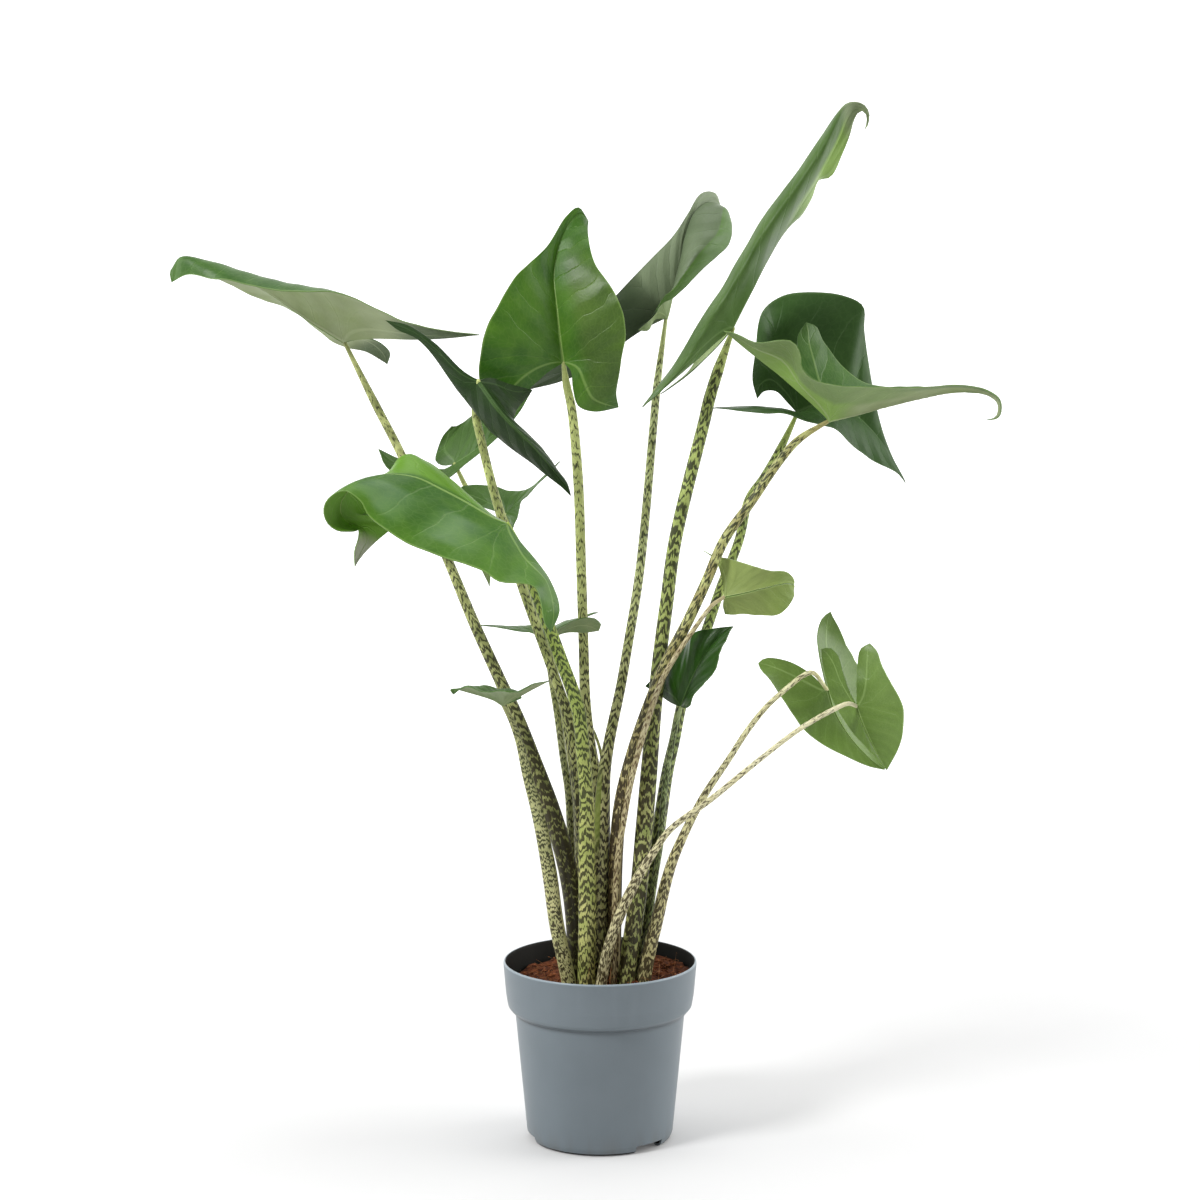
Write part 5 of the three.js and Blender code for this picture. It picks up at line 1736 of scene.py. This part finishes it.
@dataclass
class NurseryPot:
    """The round pot with its wide rim band, spun from a profile and cut by the foot's notches and drains."""

    steps: int = 144
    fillet: float = 1.2
    fillet_points: int = 3
    fillet_share: float = 0.4
    drain_sides: int = 24
    weld_reach: float = 0.005
    smooth_angle: float = 35.0
    floor_heights: Pair = (1.5, 20.0)
    shaded_underside_heights: Pair = (1.0, 10.0)
    inner_wall_from: float = 9.0
    faces_up: float = 0.3
    faces_down: float = -0.5
    faces_in: float = -0.35

    @staticmethod
    def _corners() -> list[Pair]:
        """The wall's outline from the axis out, up and back in.

        Returns:
            The corners, as radius and height.
        """
        band = POT_HEIGHT - BAND_HEIGHT
        half = BEND / 2
        outer = [
            (0.0, 0.0), (HUB_RADIUS, 0.0), (HUB_RADIUS + BEND, FLOOR_RISE),
            (CHANNEL_INNER_RADIUS, FLOOR_RISE), (CHANNEL_INNER_RADIUS + BEND, 0.0),
            (FOOT_RADIUS, 0.0), (FOOT_RADIUS + BEND, LIP),
            (FOOT_RADIUS + BEND + LIP, FOOT_BEND_HEIGHT), (WALL_FOOT_RADIUS, FOOT_CURVE_HEIGHT),
            (WALL_TOP_RADIUS, band - 1), (WALL_TOP_RADIUS + BEND, band),
            (BAND_FOOT_RADIUS, band + BAND_BEND_HEIGHT),
            (BAND_SWELL_RADIUS, band + BAND_SWELL_HEIGHT), (RIM_RADIUS, POT_HEIGHT - LIP),
            (RIM_RADIUS - WALL / 4, POT_HEIGHT),
        ]
        inner = [
            (RIM_RADIUS - WALL, POT_HEIGHT), (RIM_RADIUS - WALL - WALL / 4, POT_HEIGHT - LIP),
            (BAND_SWELL_RADIUS - WALL, band + BAND_SWELL_HEIGHT),
            (BAND_FOOT_RADIUS - WALL, band + BAND_BEND_HEIGHT + 1),
            (WALL_TOP_RADIUS + 1, band + WALL), (WALL_TOP_RADIUS - WALL, band - 1),
            (WALL_FOOT_RADIUS - WALL, FOOT_CURVE_HEIGHT),
            (FOOT_RADIUS + BEND, FOOT_BEND_HEIGHT + 1), (FOOT_RADIUS + half, LIP + half),
            (FOOT_RADIUS - 1, WALL), (CHANNEL_INNER_RADIUS + BEND + 1, WALL),
            (CHANNEL_INNER_RADIUS + half, FLOOR_RISE + WALL),
            (HUB_RADIUS + half, FLOOR_RISE + WALL), (HUB_RADIUS - half, WALL), (0.0, WALL),
        ]
        return outer + inner

    def _outline(self) -> list[Pair]:
        """The wall's outline with its corners rounded.

        Returns:
            Its points, as radius and height.
        """
        corners = self._corners()
        line = [corners[0]]
        for before, here, after in zip(corners, corners[1:], corners[2:]):
            middle = Vector(here)
            inward, outward = Vector(before) - middle, Vector(after) - middle
            start = middle + inward.normalized() * min(self.fillet, inward.length * self.fillet_share)
            end = middle + outward.normalized() * min(self.fillet, outward.length * self.fillet_share)
            for step in range(self.fillet_points + 1):
                t = step / self.fillet_points
                spot = start * (1 - t) ** 2 + middle * 2 * t * (1 - t) + end * t * t
                line.append((spot.x, spot.y))
        line.append(corners[-1])
        return line

    def _shell(self) -> Piece:
        """Spins the outline round the axis.

        Returns:
            The uncut pot.
        """
        line = self._outline()
        add = bpy.ops.mesh.primitive_circle_add
        pot = primitive(add, "nursery_pot", vertices=len(line), radius=1.0, fill_type="NOTHING")
        for vertex, (radius, height) in zip(pot.data.vertices, line):
            vertex.co = Vector((radius, 0.0, height)) * MM
        bpy.ops.object.mode_set(mode="EDIT")
        shape = bmesh.from_edit_mesh(pot.data)
        shape.verts.ensure_lookup_table()
        ends = {shape.verts[0], shape.verts[len(line) - 1]}
        for edge in list(shape.edges):
            if set(edge.verts) == ends:
                shape.edges.remove(edge)
        bmesh.update_edit_mesh(pot.data)
        bpy.ops.mesh.select_all(action="SELECT")
        bpy.ops.mesh.spin(steps=self.steps, angle=2 * math.pi, center=(0, 0, 0), axis=(0, 0, 1))
        weld(pot, self.weld_reach, outwards=True)
        return pot

    def _cutters(self) -> list[Piece]:
        """The notches through the foot and the drain holes.

        Returns:
            A cutter for each.
        """
        cutters = []
        size = Matrix.Diagonal((NOTCH_WIDTH * MM, NOTCH_DEPTH * MM, 2 * NOTCH_HEIGHT * MM, 1.0))
        outwards = Matrix.Translation((0, -(FOOT_RADIUS + BEND) * MM, 0))
        for degrees in NOTCH_ANGLES:
            notch = primitive(bpy.ops.mesh.primitive_cube_add, "notch", size=1.0)
            notch.data.transform(Matrix.Rotation(math.radians(degrees), 4, "Z") @ outwards @ size)
            cutters.append(notch)
        outwards = Matrix.Translation((DRAIN_RING_RADIUS * MM, 0, FLOOR_RISE * MM))
        for count in range(DRAIN_COUNT):
            drain = primitive(bpy.ops.mesh.primitive_cylinder_add, "drain", vertices=self.drain_sides,
                              radius=DRAIN_RADIUS * MM, depth=4 * FLOOR_RISE * MM)
            drain.data.transform(Matrix.Rotation(2 * math.pi * count / DRAIN_COUNT, 4, "Z") @ outwards)
            cutters.append(drain)
        return cutters

    def _is_dark(self, face: bpy.types.MeshPolygon) -> bool:
        """Whether a face lies inside the pot, where the plastic is nearly black, or under its floor, where
        the dark is painted shade.

        Args:
            face: one of the pot's faces.

        Returns:
            Whether the face takes the dark material.
        """
        height = face.center.z / MM
        out = Vector((face.center.x, face.center.y, 0.0))
        facing = face.normal.dot(out.normalized()) if out.length > 0 else 0.0
        floor_low, floor_high = self.floor_heights
        under_low, under_high = self.shaded_underside_heights
        on_floor = floor_low < height < floor_high and face.normal.z > self.faces_up
        # Painted shade: faces under the floor take the dark material
        underneath_painted_shade = under_low < height < under_high and face.normal.z < self.faces_down
        on_inner_wall = height > self.inner_wall_from and facing < self.faces_in
        return on_floor or underneath_painted_shade or on_inner_wall

    def build(self, effects: EffectShelf) -> Piece:
        """Spins, cuts and dresses the pot.

        Args:
            effects: the shared shader groups.

        Returns:
            The finished pot.
        """
        pot = self._shell()
        cutters = self._cutters()
        for cutter in cutters:
            cut = pot.modifiers.new("cut", "BOOLEAN")
            cut.operation = "DIFFERENCE"
            cut.solver = "EXACT"
            cut.object = cutter
        apply_all(pot)
        for cutter in cutters:
            bpy.data.objects.remove(cutter)
        pot.data.materials.clear()
        pot.data.materials.append(PLASTIC_OUTSIDE.material("pot_outside", effects))
        pot.data.materials.append(PLASTIC_INSIDE_AND_SHADE.material("pot_inside_and_shade", effects))
        for face in pot.data.polygons:
            face.material_index = int(self._is_dark(face))
        smooth(pot, self.smooth_angle)
        return pot


@dataclass(frozen=True)
class Lamp:
    """A square soft light: its place and aim in metres, its side in metres and its power in watts."""

    name: str
    place: Point
    aim: Point
    side: float
    watts: float


LAMPS = (
    Lamp("key", (-2.0, -1.7, 2.6), (0.0, 0.0, 0.45), 0.8, 80.0),
    Lamp("left", (-2.4, 0.2, 1.3), (0.0, 0.0, 0.5), 2.0, 22.0),
    Lamp("right", (2.5, 0.2, 1.3), (0.0, 0.0, 0.5), 2.0, 52.0),
    Lamp("top", (0.2, 0.5, 3.4), (0.0, 0.0, 0.4), 2.2, 26.0),
)


@dataclass
class Studio:
    """The pale floor that curves up behind, the camera and the soft lights, in metres."""

    half_width: float = 6.0
    front: float = -5.0
    back: float = 3.2
    curve: float = 1.6
    height: float = 4.5
    floor_columns: int = 4
    floor_rows: int = 60
    floor_white: float = 0.6
    floor_glow: float = 0.08
    wall_glow: float = 0.95
    glow_rise: Pair = (0.3, 2.6)
    front_sky: float = 0.34
    back_sky: float = 0.7
    sky_rise: Pair = (-0.9, 0.1)

    def floor(self) -> None:
        """Bends the floor and its rise."""
        flat = self.back - self.front
        arc = self.curve * math.pi / 2
        whole = flat + arc + self.height

        def place(column: int, row: int) -> Vector:
            """Point on the floor, its curve or the wall behind."""
            along = whole * row / self.floor_rows
            x = (column / self.floor_columns - 0.5) * 2 * self.half_width
            if along <= flat:
                spot = Vector((x, self.front + along, 0.0))
            elif along <= flat + arc:
                turn = (along - flat) / self.curve
                spot = Vector((x, self.back + self.curve * math.sin(turn), self.curve * (1 - math.cos(turn))))
            else:
                spot = Vector((x, self.back + self.curve, self.curve + along - flat - arc))
            return spot / MM

        def layout(column: int, row: int) -> Pair:
            """Share across and share along."""
            return (column / self.floor_columns, row / self.floor_rows)

        sheet = shaped_grid("studio_floor", self.floor_columns, self.floor_rows, place, layout)
        bench = SkinBench("studio_floor")
        _, back, _ = bench.split(bench.object_place())
        glow = bench.band(back, *self.glow_rise, self.floor_glow, self.wall_glow)
        white = (self.floor_white, self.floor_white, self.floor_white, 1.0)
        material = bench.coat(white, 0.95, 0.0, Emission_Color=(1.0, 1.0, 1.0, 1.0), Emission_Strength=glow)
        sheet.data.materials.append(material)
        make_active(sheet)
        bpy.ops.object.shade_smooth()

    @staticmethod
    def camera() -> None:
        """Stands the camera where the photograph was taken from."""
        data = bpy.data.cameras.new("camera")
        data.sensor_width = SENSOR
        data.lens = SENSOR * FOCAL_PIXELS / FRAME_PIXELS
        data.clip_end = FARTHEST
        camera = bpy.data.objects.new("camera", data)
        camera.location = EYE
        camera.rotation_euler = (math.radians(90.0 - PITCH_DOWN), 0.0, 0.0)
        bpy.context.collection.objects.link(camera)
        bpy.context.scene.camera = camera

    @staticmethod
    def _hang(lamp: Lamp) -> None:
        """Hangs one light and turns it to its aim.

        Args:
            lamp: its plan.
        """
        data = bpy.data.lights.new(lamp.name, "AREA")
        data.shape = "SQUARE"
        data.size = lamp.side
        data.energy = lamp.watts
        light = bpy.data.objects.new(lamp.name, data)
        light.location = lamp.place
        light.rotation_euler = (Vector(lamp.aim) - Vector(lamp.place)).to_track_quat("-Z", "Y").to_euler()
        bpy.context.collection.objects.link(light)

    def lights(self) -> None:
        """Hangs the lights and sets the pale surroundings."""
        for lamp in LAMPS:
            self._hang(lamp)
        scene = bpy.context.scene
        scene.world = scene.world or bpy.data.worlds.new("surroundings")
        scene.world.use_nodes = True
        bench = NodeBench(scene.world.node_tree)
        ground = bench.tree.nodes.get("Background") or bench.add("ShaderNodeBackground")
        _, back, _ = bench.split(bench.add("ShaderNodeTexCoord").outputs["Generated"])
        strength = bench.band(back, *self.sky_rise, self.front_sky, self.back_sky)
        bench.fill(ground, Color=(1.0, 1.0, 1.0, 1.0), Strength=strength)
        scene.view_settings.view_transform = "Standard"


BLADE_FINISHES = {
    "far_left": PALE,
    "left_drooping": DEEP,
    "centre": BRIGHT,
    "rear_centre": SATIN_PAINTED_SHEEN,
    "tallest": FRESH,
    "right_rear": DUSKY,
    "right_front": PALE,
    "front_left": BRIGHT,
    "small_right": YOUNG,
    "right_inner": DARK,
    "low_right_rear": GLOSSY,
    "low_right_front": GLOSSY,
}

BLADE_TINTS = {
    "far_left": [Tint((56, 78, 46), along=(-0.1, 0.17), on_top=False, soft=0.05)],
    "tallest": [
        Tint((136, 166, 84), across=(-0.12, 1.1), along=(0.62, 1.1), soft=0.1),
        Tint((134, 146, 112), along=(0.87, 1.1)),
    ],
    "rear_centre": [
        # Painted light: the left half made paler and greyer, offsetting its shading
        Tint((136, 150, 120), across=(-1.1, 0.0), along=(0.3, 1.1)),
        Tint((34, 48, 28), along=(-0.1, 0.29), share=0.9, soft=0.06),
        Tint((84, 118, 54), across=(0.6, 1.1), along=(0.2, 1.1)),
    ],
    "front_left": [
        Tint((100, 146, 34), across=(0.1, 1.1), along=(0.3, 0.8), share=0.7, soft=0.1),
        Tint((36, 82, 10), across=(-0.6, 0.1), along=(0.5, 0.8), share=0.5, soft=0.12),
        # Painted sheen: two pale bluish streaks along the side veins
        Tint((132, 158, 130), across=(-0.85, -0.35), along=(0.56, 0.62), share=0.45, soft=0.07),
        Tint((132, 158, 130), across=(-0.8, -0.3), along=(0.36, 0.42), share=0.4, soft=0.06),
        # Painted light: the underside inside the rolled tip made bright yellow-green, as if lit through
        Tint((98, 150, 34), along=(0.6, 0.91), on_top=False),
        Tint((164, 166, 150), along=(0.92, 1.1), on_top=False),
    ],
    "right_front": [
        Tint((92, 120, 56), along=(-0.1, 0.34), share=0.8, on_top=False, soft=0.06),
        Tint((110, 138, 74), across=(0.3, 1.1), along=(0.2, 0.55), share=0.7, on_top=False, soft=0.1),
        Tint((88, 116, 68), across=(0.65, 1.1), along=(0.55, 1.0), share=0.7, on_top=False, soft=0.12),
        # Painted light: a bright yellow-green patch on the underside near the junction, as if lit through
        Tint((128, 164, 70), across=(-0.1, 0.4), along=(0.1, 0.36), share=0.8, on_top=False, soft=0.08),
    ],
    "small_right": [
        Tint((150, 164, 96), along=(0.1, 0.6), share=0.6, on_top=False, soft=0.1),
        Tint((84, 84, 72), along=(0.9, 1.1), on_top=False),
    ],
    "centre": [Tint((74, 84, 38), across=(0.3, 1.1), along=(0.1, 0.75), share=0.45, soft=0.15)],
}

BLADE_SWEEPS = {"front_left": 0.5, "centre": 1.1}

SMALL_BLADE = {"rib_depth": 2.2, "quilt_depth": 0.3, "lobe_rows": 14, "rib_rows": 36}

STALK_FINISHES = {
    "front_left": StalkFinish(low=(192, 190, 120), high=(150, 172, 74), shade=(146, 160, 78),
        bar=(48, 46, 14), bar_high=(46, 60, 14), cover_low=0.1, cover_high=0.0, slope=1.0, chevrons=3.0),
    "far_left": StalkFinish(low=(140, 142, 86), high=(184, 190, 124), shade=(96, 104, 52), cover_low=0.9),
    "left_drooping": StalkFinish(low=(176, 176, 112), shade=(120, 130, 68), cover_low=0.5),
    "lowest_left": StalkFinish(high=(176, 178, 124), shade=(150, 154, 98), per_centimetre=1.9, slope=0.4,
        cover_low=0.0, cover_high=0.1, breaks=1.7, line_turn=0.17),
    "slim_left": StalkFinish(low=(198, 196, 152), high=(188, 192, 140), cover_low=0.0, cover_high=-0.2,
        per_centimetre=1.3, breaks=1.5),
    "rear_centre": StalkFinish(low=(196, 192, 136), high=(184, 194, 134), cover_high=-0.35,
        strip_round=(0.795, 0.975), strip_along=(0.23, 0.33)),
    "right_front": StalkFinish(low=(202, 188, 136), high=(188, 194, 124), shade=(140, 124, 74),
        bar=(50, 34, 12), cover_low=1.0, cover_high=-0.1, per_centimetre=0.85, breaks=1.3, line_turn=0.12,
        line_colour=(206, 190, 146)),
    "small_right": StalkFinish(low=(200, 188, 142), high=(206, 198, 158), shade=(170, 156, 110),
        bar=(66, 46, 22), bar_high=(96, 76, 48), cover_low=0.1, cover_high=-0.4),
    "low_right_rear": StalkFinish(low=(196, 188, 132), high=(222, 220, 176), shade=(196, 190, 136),
        bar=(56, 46, 22), bar_high=(66, 58, 34), cover_low=0.5, cover_high=-0.6, breaks=1.2),
    "low_right_front": StalkFinish(low=(202, 194, 148), high=(226, 222, 186), shade=(206, 200, 154),
        bar=(58, 48, 24), bar_high=(74, 66, 42), cover_low=0.35, cover_high=-0.8, breaks=1.2),
    "tallest": StalkFinish(low=(176, 178, 114), high=(170, 184, 104), shade=(124, 140, 70), cover_low=0.5,
        cover_high=0.0, per_centimetre=0.9),
    "right_rear": StalkFinish(low=(168, 176, 116), high=(178, 194, 106), shade=(110, 134, 66),
        bar=(34, 38, 12), cover_low=0.4, cover_high=-0.1),
    "right_inner": StalkFinish(low=(156, 168, 114), high=(172, 188, 130), shade=(108, 130, 74),
        per_centimetre=1.3, cover_low=0.3, cover_high=0.1, breaks=1.4),
}


@dataclass
class PottedAlocasia:
    """The whole plant in its pot."""

    effects: EffectShelf = field(default_factory=EffectShelf)

    @staticmethod
    def _settle(piece: Piece, slot: str, node: Optional[str] = None) -> None:
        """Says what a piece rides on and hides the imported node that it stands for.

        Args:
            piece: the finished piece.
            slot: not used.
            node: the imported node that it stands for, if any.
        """
        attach(piece, BODY)
        if node:
            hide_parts(node)
        LOG.info("%s: %d faces", piece.name, len(piece.data.polygons))

    def _leaf(self, number: int, name: str, plan: LeafPlan) -> None:
        """Builds one blade and its stalk.

        Args:
            number: the leaf's place in the order, which varies its waves, bars and sheath.
            name: the leaf's name.
            plan: its guiding points.
        """
        sizes = dict(SMALL_BLADE) if SplineRun(plan.rib).length < SMALL_BLADE_LENGTH else {}
        if name in BLADE_SWEEPS:
            sizes["sweep"] = BLADE_SWEEPS[name]
        tints = BLADE_TINTS.get(name, [])
        finish = BLADE_FINISHES.get(name, PLAIN)
        blade = Blade(name, plan, finish, PHASE_STEP * number, tints, **sizes)
        self._settle(blade.build(self.effects), "leaf", f"leaf_{name}")
        skin = STALK_FINISHES.get(name, StalkFinish())
        lip_turn = (FIRST_LIP_TURN + LIP_TURN_STEP * number) % 1.0
        stalk = Stalk(name, plan, skin, SEED_STEP * number, lip_turn)
        self._settle(stalk.build(self.effects), "petiole", f"petiole_{name}")

    def build(self) -> None:
        """Builds every piece in order."""
        for number, (name, plan) in enumerate(LEAVES.items()):
            self._leaf(number, name, plan)
        bed, crumbs, fibres = Coir().build(self.effects)
        self._settle(bed, "soil", "soil")
        self._settle(crumbs, "soil")
        self._settle(fibres, "soil")
        self._settle(NurseryPot().build(self.effects), "pot", "pot")


def main() -> None:
    """Sets the studio and builds the plant."""
    logging.basicConfig(level=logging.INFO, format="%(name)s %(message)s")
    studio = Studio()
    studio.camera()
    studio.floor()
    studio.lights()
    PottedAlocasia().build()


if __name__ == "__main__":
    main()
